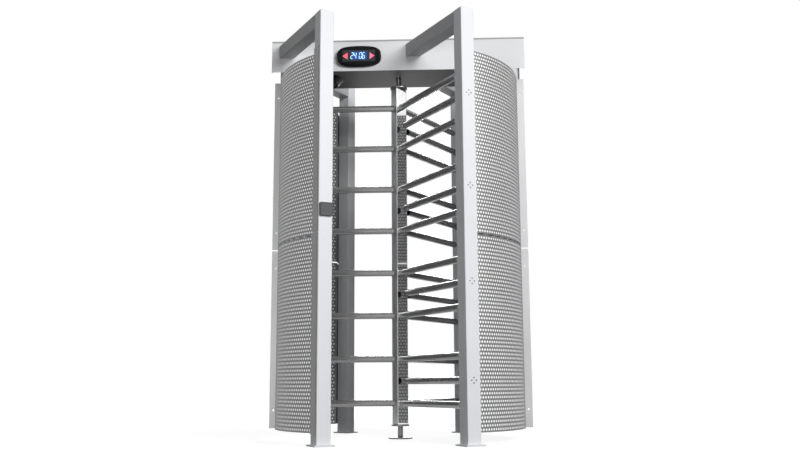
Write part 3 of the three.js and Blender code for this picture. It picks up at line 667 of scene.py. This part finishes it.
def perforatedSheet(across, height):
    # one staggered pair of rows is modelled, then repeated upwards; the sheet lies flat in XZ
    margin, edge, rows = shell["sideMargin"], shell["edgeMargin"], shell["rows"]
    count = round((across - 2 * margin) / shell["pitch"])
    width = (across - 2 * margin) / count
    rise = (height - 2 * edge) / rows
    middle = Vector((margin + width / 2, 0, edge + rise / 2))
    tile = addGrid("tile", middle, width, rise, 2, 2)
    selectParts(tile, "vertices", lambda v: (v.co - middle).length < near)
    bpy.ops.mesh.dissolve_verts()
    bpy.ops.mesh.select_all(action="SELECT")
    bpy.ops.mesh.select_mode(type="FACE")
    bpy.ops.mesh.inset(thickness=shell["insetShare"] * rise)
    bpy.ops.mesh.delete(type="ONLY_FACE")
    toObjectMode()
    for v in tile.data.vertices:
        sideX, sideZ = v.co.x - middle.x, v.co.z - middle.z
        if abs(sideX) > width / 2 - 2 * near or abs(sideZ) > rise / 2 - 2 * near:
            continue
        offX, offZ = abs(sideX) > shell["middleShare"] * width, abs(sideZ) > shell["middleShare"] * rise
        reach = shell["hole"] * (shell["cornerShare"] if offX and offZ else 0.5)
        if offX:
            v.co.x = middle.x + math.copysign(reach, sideX)
        if offZ:
            v.co.z = middle.z + math.copysign(reach, sideZ)
    upper = copyPiece(tile, "upperRow", Matrix.Translation((width / 2, 0, rise)))
    repeat(tile, count, (width, 0, 0))
    repeat(upper, count - 1, (width, 0, 0))
    rowEnds = [
        addGrid("rowEnd", (low + width / 4, 0, edge + rise * 1.5), width / 2, rise, 1, 2)
        for low in (margin, margin + (count - 0.5) * width)
    ]
    sheet = joinPieces("shellMaster", tile, upper, *rowEnds)
    mergeClose(sheet)
    repeat(sheet, rows // 2, (0, 0, 2 * rise))
    growSheet(sheet, lambda v: v.co.z < edge + near, (0, 0, -edge))
    growSheet(sheet, lambda v: v.co.z > height - edge - near, (0, 0, edge))
    growSheet(sheet, lambda v: v.co.x < margin + near, (-margin, 0, 0))
    growSheet(sheet, lambda v: v.co.x > across - margin - near, (margin, 0, 0))
    return sheet


def extendSheet(sheet, lengths, across):
    # plain strips beyond the perforated field, up to the post
    edge = across
    for length in lengths:
        growSheet(sheet, lambda v: v.co.x > edge - near, (length, 0, 0))
        edge += length


def linerSheet(across, height):
    # the pale liner lies in the middle of the sheet and closes its holes
    width, high = across - shell["sideMargin"], height - shell["edgeMargin"]
    columns = round(across / shell["pitch"])
    liner = addGrid("linerMaster", (across / 2, 0, height / 2), width, high, columns, 1)
    return thicken(liner, shell["liner"], 0)


def foldSheet(sheet, corner, across, bottom):
    # the flat sheet is rolled round the axis and folded at its end
    along, side = corners[corner]
    lastAngle, tail = shellRoute(corner)
    points = [arcPoint(corner, lastAngle)] + tail
    marks = [across]
    for a, b in zip(points, points[1:]):
        marks.append(marks[-1] + (b - a).length)

    def outwardOf(i):
        step = (points[i + 1] - points[i]).normalized()
        return Vector((step.y, -step.x, 0)) * along * side

    def mitred(outward, after):
        mitre = (outward + after).normalized()
        return mitre / mitre.dot(after)

    for v in sheet.data.vertices:
        run, offset, rise = v.co.x, v.co.y, v.co.z
        if run <= across + near / 2:
            angle = lastAngle * run / across
            outward = Vector((along * math.cos(angle), side * math.sin(angle), 0))
            place = arcPoint(corner, angle)
            if run > across - near / 2:
                outward = mitred(outward, outwardOf(0))
        else:
            i = max(k for k in range(len(marks)) if marks[k] < run - near / 2)
            share = (run - marks[i]) / (marks[i + 1] - marks[i])
            place = points[i].lerp(points[i + 1], share)
            outward = outwardOf(i)
            if share > almostOne and i + 2 < len(points):
                outward = mitred(outward, outwardOf(i + 1))
        v.co = place + outward * -offset + Vector((0, 0, bottom + rise))
    sheet.data.update()
    faceOutwards(sheet)


def flangePlate(name, corner, bottom, top, holes):
    along, side = corners[corner]
    x = along * (shell["radius"] + shell["flange"] / 2)
    y = side * (plan["seat"] + shell["sheet"]) / 2
    plate = addBlock(name, (x, y, (bottom + top) / 2), (shell["flange"], shell["sheet"], top - bottom))
    reach = shell["drill"] / 2
    for height in holes:
        start, end = (x, y - reach, height), (x, y + reach, height)
        carve(plate, addRod("drill", start, end, shell["flangeHole"], shell["drillSides"]))
    return plate


def makeShells():
    gap, inset = shell["seamGap"] / 2, shell["holeInset"]
    levels = {
        "Upper": (shell["seam"] + gap, shell["top"], shell["flangeRise"], shell["topHoleInset"]),
        "Lower": (shell["bottom"], shell["seam"] - gap, 0, inset),
    }
    for level, (bottom, top, rise, topInset) in levels.items():
        for side in ("Left", "Right"):
            lastAngle, tail = shellRoute("Front" + side)
            across = lastAngle * shell["radius"]
            flat = perforatedSheet(across, top - bottom)
            points = [arcPoint("Front" + side, lastAngle)] + tail
            extendSheet(flat, [(b - a).length for a, b in zip(points, points[1:])], across)
            thicken(flat, shell["sheet"], 0)
            flatLiner = linerSheet(across, top - bottom)
            for end in ends:
                corner = end + side
                name, angle = corner + level, shell["smooth"]
                sheet = copyPiece(flat, "shell" + name)
                foldSheet(sheet, corner, across, bottom)
                node = f"{side.lower()}_shell_{end.lower()}_{level.lower()}"
                finishPiece(sheet, "frame", paints["shellSteel"], [node], angle, False)
                liner = copyPiece(flatLiner, "liner" + name)
                foldSheet(liner, corner, across, bottom)
                finishPiece(liner, "frame", paints["shellLiner"], (), angle, False)
                holes = (top - topInset, bottom + inset)
                plate = flangePlate("flange" + name, corner, bottom, top + rise, holes)
                finishPiece(plate, "frame", paints["flangeSteel"])
            drop(flat, flatLiner)


# Rotor: column, end plates, arm stars
rotor = {
    "columnSize": 70 * mm,
    "columnCorner": 4 * mm,
    "columnEdge": 0.8 * mm,
    "satin": 0.42,
    # the satin faces' darker tone is painted shade
    "satinPaintedShade": (0.52, 0.525, 0.53),
    "columnBottom": 81 * mm,
    "columnTop": 2090 * mm,
    "plateRadius": 52 * mm,
    "plateThickness": 9 * mm,
    "plateSides": 64,
    "topPlateEdge": 1.5 * mm,
    "lowPlateEdge": 1.2 * mm,
    "pinRadius": 15 * mm,
    "pinSides": 48,
    "runningGap": 0.6 * mm,
    "boreRun": (30 * mm, 120 * mm),
    "armStart": 28 * mm,
    "armReach": 682 * mm,
    "armRadius": 19 * mm,
    "armRound": 4 * mm,
    "firstArm": 201 * mm,
    "armPitch": 252.6 * mm,
    "levels": 8,
    "wings": (180, -60, 60),
    "bead": 2.2 * mm,
    "beadRun": (20 * mm, 62 * mm),
    "beadReach": 40 * mm,
    "beadRound": 0.8 * mm,
    "beadAngle": 60,
}


def columnPrism(name, outset, low, high):
    size = rotor["columnSize"] + 2 * outset
    prism = addBlock(name, (0, 0, (low + high) / 2), (size, size, high - low))
    bevelAlong(prism, zAxis, rotor["columnCorner"] + outset, 8)
    prism.matrix_world = turnedBy(plan["turn"])
    return settle(prism)


def columnMaterial():
    # two opposite faces of the tube are mirror polished, the two others are satin and painted a darker
    # tone, as painted shade
    material = surface("columnFaces", looks["columnSteel"])
    tree = material.node_tree
    shader = tree.nodes["Principled BSDF"]
    turned = tree.nodes.new("ShaderNodeMapping")
    turned.inputs["Rotation"].default_value = (0, 0, -plan["turn"])
    split = tree.nodes.new("ShaderNodeSeparateXYZ")
    away = addMath(tree, "ABSOLUTE")
    isSatin = addMath(tree, "GREATER_THAN", rotor["columnSize"] / 2 - rotor["columnCorner"])
    polish = shader.inputs["Roughness"].links[0].from_socket
    tone = shader.inputs["Base Color"].links[0].from_socket
    sheen = addMix(tree, "FLOAT", B=rotor["satin"])
    # the satin faces get the darker tone, as painted shade
    satinShade = addMix(tree, "RGBA", B=(*rotor["satinPaintedShade"], 1))
    linkUp(
        tree,
        (objectCoords(tree), turned.inputs["Vector"]),
        (turned.outputs["Vector"], split.inputs["Vector"]),
        (split.outputs["X"], away.inputs[0]),
        (away.outputs[0], isSatin.inputs[0]),
        (isSatin.outputs[0], sheen.inputs["Factor"]),
        (polish, sheen.inputs["A"]),
        (sheen.outputs["Result"], shader.inputs["Roughness"]),
        (isSatin.outputs[0], satinShade.inputs["Factor"]),
        (tone, satinShade.inputs["A"]),
        (satinShade.outputs["Result"], shader.inputs["Base Color"]),
    )
    return material


def makeEndPlates():
    radius, thickness, sides = rotor["plateRadius"], rotor["plateThickness"], rotor["plateSides"]
    low = rotor["columnTop"] + plan["seat"]
    topPlate = addRod("rotorTopPlate", (0, 0, low), (0, 0, low + thickness), radius, sides)
    softenEdges(topPlate, rotor["topPlateEdge"], 3)
    finishPiece(topPlate, "rotor", paints["plateSteel"], ["rotor_top_plate"])
    high = rotor["columnBottom"] - plan["seat"]
    lowPlate = addRod("rotorBottomPlate", (0, 0, high - thickness), (0, 0, high), radius, sides)
    start, end = rotor["boreRun"]
    bore = rotor["pinRadius"] + rotor["runningGap"]
    carve(lowPlate, addRod("bore", (0, 0, start), (0, 0, end), bore, rotor["pinSides"]))
    softenEdges(lowPlate, rotor["lowPlateEdge"])
    finishPiece(lowPlate, "rotor", paints["plateSteel"], ["rotor_bottom_plate"])


def makeRotor():
    column = columnPrism("rotorColumn", 0, rotor["columnBottom"], rotor["columnTop"])
    softenEdges(column, rotor["columnEdge"])
    finishPiece(column, "rotor", columnMaterial(), ["rotor_column"])
    makeEndPlates()
    radius, reach = rotor["armRadius"], rotor["armReach"]
    bar = addRod("bar", (rotor["armStart"], 0, 0), (reach, 0, 0), radius)
    bevelRim(bar, xAxis, reach, rotor["armRound"], 4)
    start, end = rotor["beadRun"]
    collar = addRod("collar", (start, 0, 0), (end, 0, 0), radius + rotor["bead"])
    turns = [turnedBy(math.radians(angle)) for angle in rotor["wings"]]
    beads = []
    for turn in turns:
        # the weld bead is the collar's share within the bead's depth of the column
        bead = copyPiece(collar, "bead", turn)
        around = columnPrism("beadReach", rotor["bead"], -rotor["beadReach"], rotor["beadReach"])
        combine(bead, around, "INTERSECT")
        beads.append(softenEdges(bead, rotor["beadRound"], 2, rotor["beadAngle"]))
    star = joinPieces("starMaster", *[copyPiece(bar, "bar", turn) for turn in turns], *beads)
    for level in range(rotor["levels"]):
        lift = Matrix.Translation((0, 0, rotor["firstArm"] + level * rotor["armPitch"]))
        piece = copyPiece(star, f"rotorArms{level + 1}", lift)
        finishPiece(piece, "rotor", paints["barSteel"], [f"arm_set_{level + 1}"])
    drop(bar, collar, star)


# Floor pivot under the column
pivot = {
    "plateRadius": 70 * mm,
    "plateThickness": 9 * mm,
    "plateEdge": 1.5 * mm,
    "pinTop": 118 * mm,
    "pinEdge": 1 * mm,
    "sunk": 1 * mm,
    "weld": 4 * mm,
}


def makePivot():
    thickness, radius, sides = pivot["plateThickness"], rotor["pinRadius"], rotor["pinSides"]
    plate = addRod("pivotPlate", (0, 0, 0), (0, 0, thickness), pivot["plateRadius"], rotor["plateSides"])
    softenEdges(plate, pivot["plateEdge"], 3)
    foot = (0, 0, thickness - pivot["sunk"])
    pin = addRod("pin", foot, (0, 0, pivot["pinTop"]), radius, sides)
    softenEdges(pin, pivot["pinEdge"])
    weldTop = (0, 0, thickness + pivot["weld"])
    weld = addRod("weld", foot, weldTop, radius + pivot["weld"], sides, radius)
    piece = joinPieces("floorPivot", plate, pin, weld)
    finishPiece(piece, "frame", paints["plateSteel"], ["floor_pivot"])


# Fixed barrier bars with their end caps, and the bolts outside the posts
barrier = {
    "rows": 4,
    "inner": 84 * mm,
    "cap": 12 * mm,
    "capGap": 0.2 * mm,
    "capRound": 3 * mm,
    "weld": 2.2 * mm,
    "weldStandout": 0.5 * mm,
    "bolt": 4.2 * mm,
    "boltSides": 24,
    "boltStep": 13.5 * mm,
    "boltHead": 2.6 * mm,
    "boltRound": 1 * mm,
    "boltAngle": 60,
    "socket": 1.8 * mm,
    "socketSides": 6,
    "socketFloor": 1 * mm,
}


def barrierHeight(row):
    # each fixed bar lies midway between two levels of the rotor
    return rotor["firstArm"] + rotor["armPitch"] * (2 * row + 0.5)


def makeBarrier():
    inner, capEnd = barrier["inner"], barrier["inner"] + barrier["cap"]
    outer = plan["postCircle"] - plan["postSize"] / 2 - plan["seat"]
    radius, thick = rotor["armRadius"], barrier["weld"]
    bar = addRod("bar", (capEnd, 0, 0), (outer, 0, 0), radius)
    weld = addRing("weld", (outer - thick, 0, 0), (1, 0, 0), radius + barrier["weldStandout"], thick)
    bar = joinPieces("bar", bar, weld)
    cap = addRod("cap", (inner, 0, 0), (capEnd - barrier["capGap"], 0, 0), radius)
    bevelRim(cap, xAxis, inner, barrier["capRound"], 4)
    for end, across in ends.items():
        turn = turnedBy(across * plan["postAngle"])
        for row in range(barrier["rows"]):
            place = Matrix.Translation((0, 0, barrierHeight(row))) @ turn
            piece = copyPiece(bar, f"barrierBar{end}{row + 1}", place)
            node = f"barrier_arm_{end.lower()}_{row + 1}"
            finishPiece(piece, "frame", paints["barSteel"], [node])
            tip = copyPiece(cap, f"barrierCap{end}{row + 1}", place)
            finishPiece(tip, "frame", paints["blackPlastic"])
    drop(bar, cap)


def makeBolts():
    # a round head with a socket, modelled once, four to a bar
    face, step = plan["postCircle"] + plan["postSize"] / 2, barrier["boltStep"]
    top = (face + barrier["boltHead"], 0, 0)
    bolt = addRod("bolt", (face, 0, 0), top, barrier["bolt"], barrier["boltSides"])
    softenEdges(bolt, barrier["boltRound"], 3, barrier["boltAngle"])
    floor, mouth = (face + barrier["socketFloor"], 0, 0), (face + overrun, 0, 0)
    carve(bolt, addRod("socket", floor, mouth, barrier["socket"], barrier["socketSides"]))
    for end, across in ends.items():
        turn = turnedBy(across * plan["postAngle"])
        heads = []
        for row in range(barrier["rows"]):
            for aside, rise in ((1, 0), (-1, 0), (0, 1), (0, -1)):
                shift = Matrix.Translation((0, aside * step, barrierHeight(row) + rise * step))
                heads.append(copyPiece(bolt, "bolt", turn @ shift))
        piece = joinPieces(f"postBolts{end}Right", *heads)
        finishPiece(piece, "frame", paints["plateSteel"])
    drop(bolt)


# Display on the front fascia
display = {
    "x": -230 * mm,
    "z": 2245 * mm,
    "back": -165.8 * mm,
    "length": 264 * mm,
    "height": 124 * mm,
    "depth": 26 * mm,
    "power": 3,  # 2 is an ellipse, and more is squarer
    "sides": 72,
    "round": 9 * mm,
    "screen": (196 * mm, 4 * mm, 72 * mm),
    "screenCorner": 3 * mm,
    "screenEdge": 0.4 * mm,
    "recess": 2 * mm,
    "glass": (0.006, 0.008, 0.014),
    "gloss": 0.12,
    "field": (0.010, 0.055, 0.30),
    "litHalf": (55 * mm, 29 * mm),
    "litCore": 0.7,
    "signDepth": 0.6 * mm,
    "groups": ((-262 * mm, "24"), (-211 * mm, "06")),
    "digit": (13 * mm, 38 * mm, 3.4 * mm),
    "digitStep": 18 * mm,
    "lean": 0.12,
    "strokeRound": 1.02 * mm,
    "arrows": {"Left": (-313 * mm, -1), "Right": (-151 * mm, 1)},
    "arrow": (30 * mm, 42 * mm),
    "arrowDrop": 2 * mm,
    "arrowEdge": 0.25 * mm,
    "glows": {
        "digitGlow": dict(colour=(0.42, 0.78, 1.0), strength=1.3, dim=0.85),
        "arrowGlowLeft": dict(colour=(0.95, 0.10, 0.17), strength=1.0, dim=0.8),
        "arrowGlowRight": dict(colour=(0.62, 0.14, 0.24), strength=1.0, dim=0.8),
    },
    "glowRoughness": 0.4,
    "glowGrain": 90,
    "glowDetail": 2,
}


def glowing(name):
    # a lit sign colour, a little uneven as behind a diffuser
    glow = display["glows"][name]
    material, tree, shader = newMaterial(name)
    shader.inputs["Roughness"].default_value = display["glowRoughness"]
    noise = noiseOn(tree, objectCoords(tree), even, display["glowGrain"], display["glowDetail"])
    dimmed = [part * glow["dim"] for part in glow["colour"]]
    lit = blendColours(tree, ranged(tree, noise, 0, 1), dimmed, glow["colour"])
    linkUp(tree, (lit, shader.inputs["Emission Color"]), (lit, shader.inputs["Base Color"]))
    shader.inputs["Emission Strength"].default_value = glow["strength"]
    return material


def screenMaterial():
    # dark glass with a soft blue field behind the digits
    material, tree, shader = newMaterial("screenGlass")
    shader.inputs["Roughness"].default_value = display["gloss"]
    shader.inputs["Base Color"].default_value = (*display["glass"], 1)
    split = tree.nodes.new("ShaderNodeSeparateXYZ")
    tree.links.new(objectCoords(tree), split.inputs["Vector"])
    masks = []
    for output, middle, half in zip("XZ", (display["x"], display["z"]), display["litHalf"]):
        away = addMath(tree, "SUBTRACT", middle)
        size = addMath(tree, "ABSOLUTE")
        fade = addRange(tree, half, half * display["litCore"])
        fade.interpolation_type = "SMOOTHSTEP"
        linkUp(
            tree,
            (split.outputs[output], away.inputs[0]),
            (away.outputs[0], size.inputs[0]),
            (size.outputs[0], fade.inputs["Value"]),
        )
        masks.append(fade.outputs["Result"])
    field = addMath(tree, "MULTIPLY")
    linkUp(tree, (masks[0], field.inputs[0]), (masks[1], field.inputs[1]))
    glow = blendColours(tree, field.outputs[0], (0, 0, 0), display["field"])
    tree.links.new(glow, shader.inputs["Emission Color"])
    shader.inputs["Emission Strength"].default_value = 1
    return material


def makeDisplay():
    x, z, back = display["x"], display["z"], display["back"]
    front = back - display["depth"]
    # a short rod of radius 1 is swollen to the rounded oblong
    housing = addRod("displayHousing", (0, 0, 0), (0, -display["depth"], 0), 1, display["sides"])
    for v in housing.data.vertices:
        angle = math.atan2(v.co.z, v.co.x)
        turns = (math.cos(angle), math.sin(angle))
        swell = [math.copysign(abs(part) ** (2 / display["power"]), part) for part in turns]
        v.co.x = x + display["length"] / 2 * swell[0]
        v.co.z = z + display["height"] / 2 * swell[1]
        v.co.y += back
    bevelRim(housing, yAxis, front, display["round"], 6)
    width, thickness, height = display["screen"]
    face = front + display["recess"]
    floor, mouth, slack = face + thickness + plan["seat"], front - overrun, 2 * plan["seat"]
    pocket = addBlock("pocket", (x, (floor + mouth) / 2, z), (width + slack, floor - mouth, height + slack))
    bevelAlong(pocket, yAxis, display["screenCorner"], 4)
    carve(housing, pocket)
    finishPiece(housing, "frame", paints["blackPlastic"], ["display_housing"])
    screen = addBlock("displayScreen", (x, face + thickness / 2, z), (width, thickness, height))
    bevelAlong(screen, yAxis, display["screenCorner"], 4)
    softenEdges(screen, display["screenEdge"])
    finishPiece(screen, "frame", screenMaterial(), ["display_screen"])
    makeDigits(face, z)
    makeArrows(face, z)


# the strokes of the figures shown, lettered as on any seven-stroke display
strokes = {"0": "abcdef", "2": "abged", "4": "fgbc", "6": "afgedc"}


def makeDigits(face, z):
    # each stroke is a small bar that leans with the digit
    width, height, thick = display["digit"]
    depth = display["signDepth"]
    places = {
        "a": (0, height / 2, True), "d": (0, -height / 2, True), "g": (0, 0, True),
        "f": (-width / 2, height / 4, False), "b": (width / 2, height / 4, False),
        "e": (-width / 2, -height / 4, False), "c": (width / 2, -height / 4, False),
    }
    bars = []
    for centre, text in display["groups"]:
        for i, figure in enumerate(text):
            middle = centre + (i - 0.5) * display["digitStep"]
            for stroke in strokes[figure]:
                dx, dz, flat = places[stroke]
                size = (width - thick, depth, thick) if flat else (thick, depth, height / 2 - thick)
                place = (middle + dx + display["lean"] * dz, face - depth / 2, z + dz)
                bar = addBlock("stroke", place, size)
                bevelAlong(bar, yAxis, display["strokeRound"], 2)
                bars.append(bar)
    digits = joinPieces("displayDigits", *bars)
    finishPiece(digits, "frame", glowing("digitGlow"))


def makeArrows(face, z):
    # a three-sided prism of radius 1 reaches from -0.5 to 1, so 1.5 in all, with its middle at 0.25
    length, height = display["arrow"]
    for name, (middle, way) in display["arrows"].items():
        deselectAll()
        bpy.ops.mesh.primitive_cylinder_add(vertices=3, radius=1, depth=1, rotation=(math.pi / 2, 0, 0))
        arrow = settle(newest("displayArrow" + name))
        for v in arrow.data.vertices:
            along, aside = v.co.z, v.co.x
            v.co.x = middle + way * length * (along - 0.25) / 1.5
            v.co.z = z - display["arrowDrop"] + aside / math.sqrt(3) * height
            v.co.y = face - (display["signDepth"] if v.co.y < 0 else 0)
        arrow.data.update()
        softenEdges(arrow, display["arrowEdge"])
        faceOutwards(arrow)
        finishPiece(arrow, "frame", glowing("arrowGlow" + name))


# Card reader on the front left post
reader = {
    "size": 72 * mm,
    "depth": 14 * mm,
    "corner": 8 * mm,
    "round": 3 * mm,
    "border": 4 * mm,
    "step": 1.2 * mm,
    "sunk": 0.8 * mm,
    "height": 1218 * mm,
}


def makeReader():
    size, depth = reader["size"], reader["depth"]
    back = -plan["postSize"] / 2 - plan["seat"]
    body = addBlock("cardReader", (0, back - depth / 2, reader["height"]), (size, depth, size))
    bevelAlong(body, yAxis, reader["corner"], 6)
    bevelRim(body, yAxis, back - depth, reader["round"], 4)

    def isFront(face):
        return face.normal.y < -facing and face.area > size * size / 2

    sinkFace(body, isFront, reader["border"], reader["step"], (0, reader["sunk"], 0))
    body.matrix_world = postMatrix("FrontLeft")
    settle(body)
    finishPiece(body, "frame", paints["readerPlastic"], ["card_reader"])


# Passage lamp under the header
lamp = {
    "x": -487 * mm,
    "radius": 148 * mm,
    "faceRadius": 112 * mm,
    "height": 30 * mm,
    "edge": 3 * mm,
    "lens": 98 * mm,
    "lensThickness": 5 * mm,
    "recess": 2 * mm,
    "border": 8 * mm,
    "step": 1.5 * mm,
    "sunk": 1 * mm,
    "sides": 96,
}


def lampRod(name, low, high, radius, endRadius=None):
    return addRod(name, (lamp["x"], 0, low), (lamp["x"], 0, high), radius, lamp["sides"], endRadius)


def makeLamp():
    top = plan["headerBottom"] - plan["seat"]
    bottom = top - lamp["height"]
    low = bottom + lamp["recess"]
    high = low + lamp["lensThickness"]
    ring = lampRod("lampRing", bottom, top, lamp["faceRadius"], lamp["radius"])
    softenEdges(ring, lamp["edge"], 4)
    carve(ring, lampRod("pocket", bottom - overrun, high + plan["seat"], lamp["lens"] + plan["seat"]))
    finishPiece(ring, "frame", paints["blackPlastic"], ["lamp_housing"])
    cover = lampRod("lampCover", low, high, lamp["lens"])
    sinkFace(cover, lambda f: f.normal.z < -facing, lamp["border"], lamp["step"], (0, 0, lamp["sunk"]))
    finishPiece(cover, "frame", paints["lampCover"], ["lamp_lens"])


# CAD nodes that stay as they are get their finish
kept = {
    # the tray's near black paint is painted shade
    "header_tray": "trayPaintedShade",
    "lower_bearing_cup": "bearingBronze",
    "drive_spindle": "columnSteel",
    "top_bearing": "plateSteel",
    "lock_disc": "plateSteel",
    "drive_gear": "plateSteel",
    "motor_pinion": "bearingBronze",
    "gear_motor": "motorPaint",
    "lock_pawl_front": "plateSteel",
    "lock_pawl_back": "plateSteel",
    "plunger_front": "columnSteel",
    "plunger_back": "columnSteel",
    "solenoid_front": "motorPaint",
    "solenoid_back": "motorPaint",
    "control_board": "boardGreen",
}


def finishKept():
    for node, paint in kept.items():
        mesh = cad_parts[node].data
        mesh.materials.clear()
        mesh.materials.append(paints[paint])


# Studio: white to the eye, plain light on the object
studio = {
    "ambient": 0.025,
    "floorSize": 400,
    "floorNear": 0.88,
    "floorFar": 1.0,
    "floorFade": (1.2, 4),
    "floorTone": 0.3,  # takes the object's shadow
    "bounceTone": 0.12,  # what the floor gives back to the object
    "lights": {
        "key": dict(place=(6.7, -6.3, 4.8), aim=(0, 0, 1.3), size=3.0, power=500),
        "fill": dict(place=(-1.7, -4.4, 0.5), aim=(0, 0, 1.2), size=2.0, power=50),
        "front": dict(place=(4.4, -7.1, 5.2), aim=(0, 0, 1.3), size=3.0, power=285),
        "back": dict(place=(0, 8, 4), aim=(0, 0, 1.3), size=2.4, power=330),
    },
}


def raySeen(tree):
    # 1 for camera, glossy and transmission rays
    path = tree.nodes.new("ShaderNodeLightPath")
    first, second = addMath(tree, "MAXIMUM"), addMath(tree, "MAXIMUM")
    linkUp(
        tree,
        (path.outputs["Is Camera Ray"], first.inputs[0]),
        (path.outputs["Is Glossy Ray"], first.inputs[1]),
        (first.outputs[0], second.inputs[0]),
        (path.outputs["Is Transmission Ray"], second.inputs[1]),
    )
    return second.outputs[0]


def makeWorld():
    world = bpy.data.worlds.new("studio")
    bpy.context.scene.world = world
    world.use_nodes = True
    tree = world.node_tree
    level = addMix(tree, "FLOAT", A=studio["ambient"], B=1)
    backdrop = tree.nodes["Background"]
    backdrop.inputs["Color"].default_value = (1, 1, 1, 1)
    linkUp(
        tree,
        (raySeen(tree), level.inputs["Factor"]),
        (level.outputs["Result"], backdrop.inputs["Strength"]),
    )


def addMatt(tree, tone):
    node = tree.nodes.new("ShaderNodeBsdfDiffuse")
    node.inputs["Color"].default_value = (tone, tone, tone, 1)
    return node.outputs[0]


def makeFloor():
    deselectAll()
    bpy.ops.mesh.primitive_plane_add(size=studio["floorSize"])
    floor = newest("studioFloor")
    paint, tree, shader = newMaterial("studioFloor")
    tree.nodes.remove(shader)
    away = tree.nodes.new("ShaderNodeVectorMath")
    away.operation = "LENGTH"
    spread = addRange(tree, *studio["floorFade"], studio["floorNear"], studio["floorFar"])
    lift = tree.nodes.new("ShaderNodeEmission")
    white = tree.nodes.new("ShaderNodeAddShader")
    mix = tree.nodes.new("ShaderNodeMixShader")
    linkUp(
        tree,
        (objectCoords(tree), away.inputs[0]),
        (away.outputs["Value"], spread.inputs["Value"]),
        (spread.outputs["Result"], lift.inputs["Strength"]),
        (addMatt(tree, studio["floorTone"]), white.inputs[0]),
        (lift.outputs[0], white.inputs[1]),
        (raySeen(tree), mix.inputs[0]),
        (addMatt(tree, studio["bounceTone"]), mix.inputs[1]),
        (white.outputs[0], mix.inputs[2]),
        (mix.outputs[0], tree.nodes["Material Output"].inputs["Surface"]),
    )
    floor.data.materials.append(paint)


def makeLights():
    for name, light in studio["lights"].items():
        deselectAll()
        bpy.ops.object.light_add(type="AREA", location=light["place"])
        item = newest(name + "Light")
        item.data.size = light["size"]
        item.data.energy = light["power"]
        towards = Vector(light["aim"]) - Vector(light["place"])
        item.rotation_euler = towards.to_track_quat("-Z", "Y").to_euler()


aimCamera()
makeWorld()
makeFloor()
makeLights()
bpy.context.scene.view_settings.view_transform = "Standard"
print("studio ready")
makePosts()
makeOverheadArms()
makeHeader()
print("frame tubes and header ready")
makeShells()
print("perforated shells ready")
makeRotor()
makePivot()
makeBarrier()
makeBolts()
print("rotor and barrier ready")
makeDisplay()
makeReader()
makeLamp()
finishKept()
print("display, reader and lamp ready")
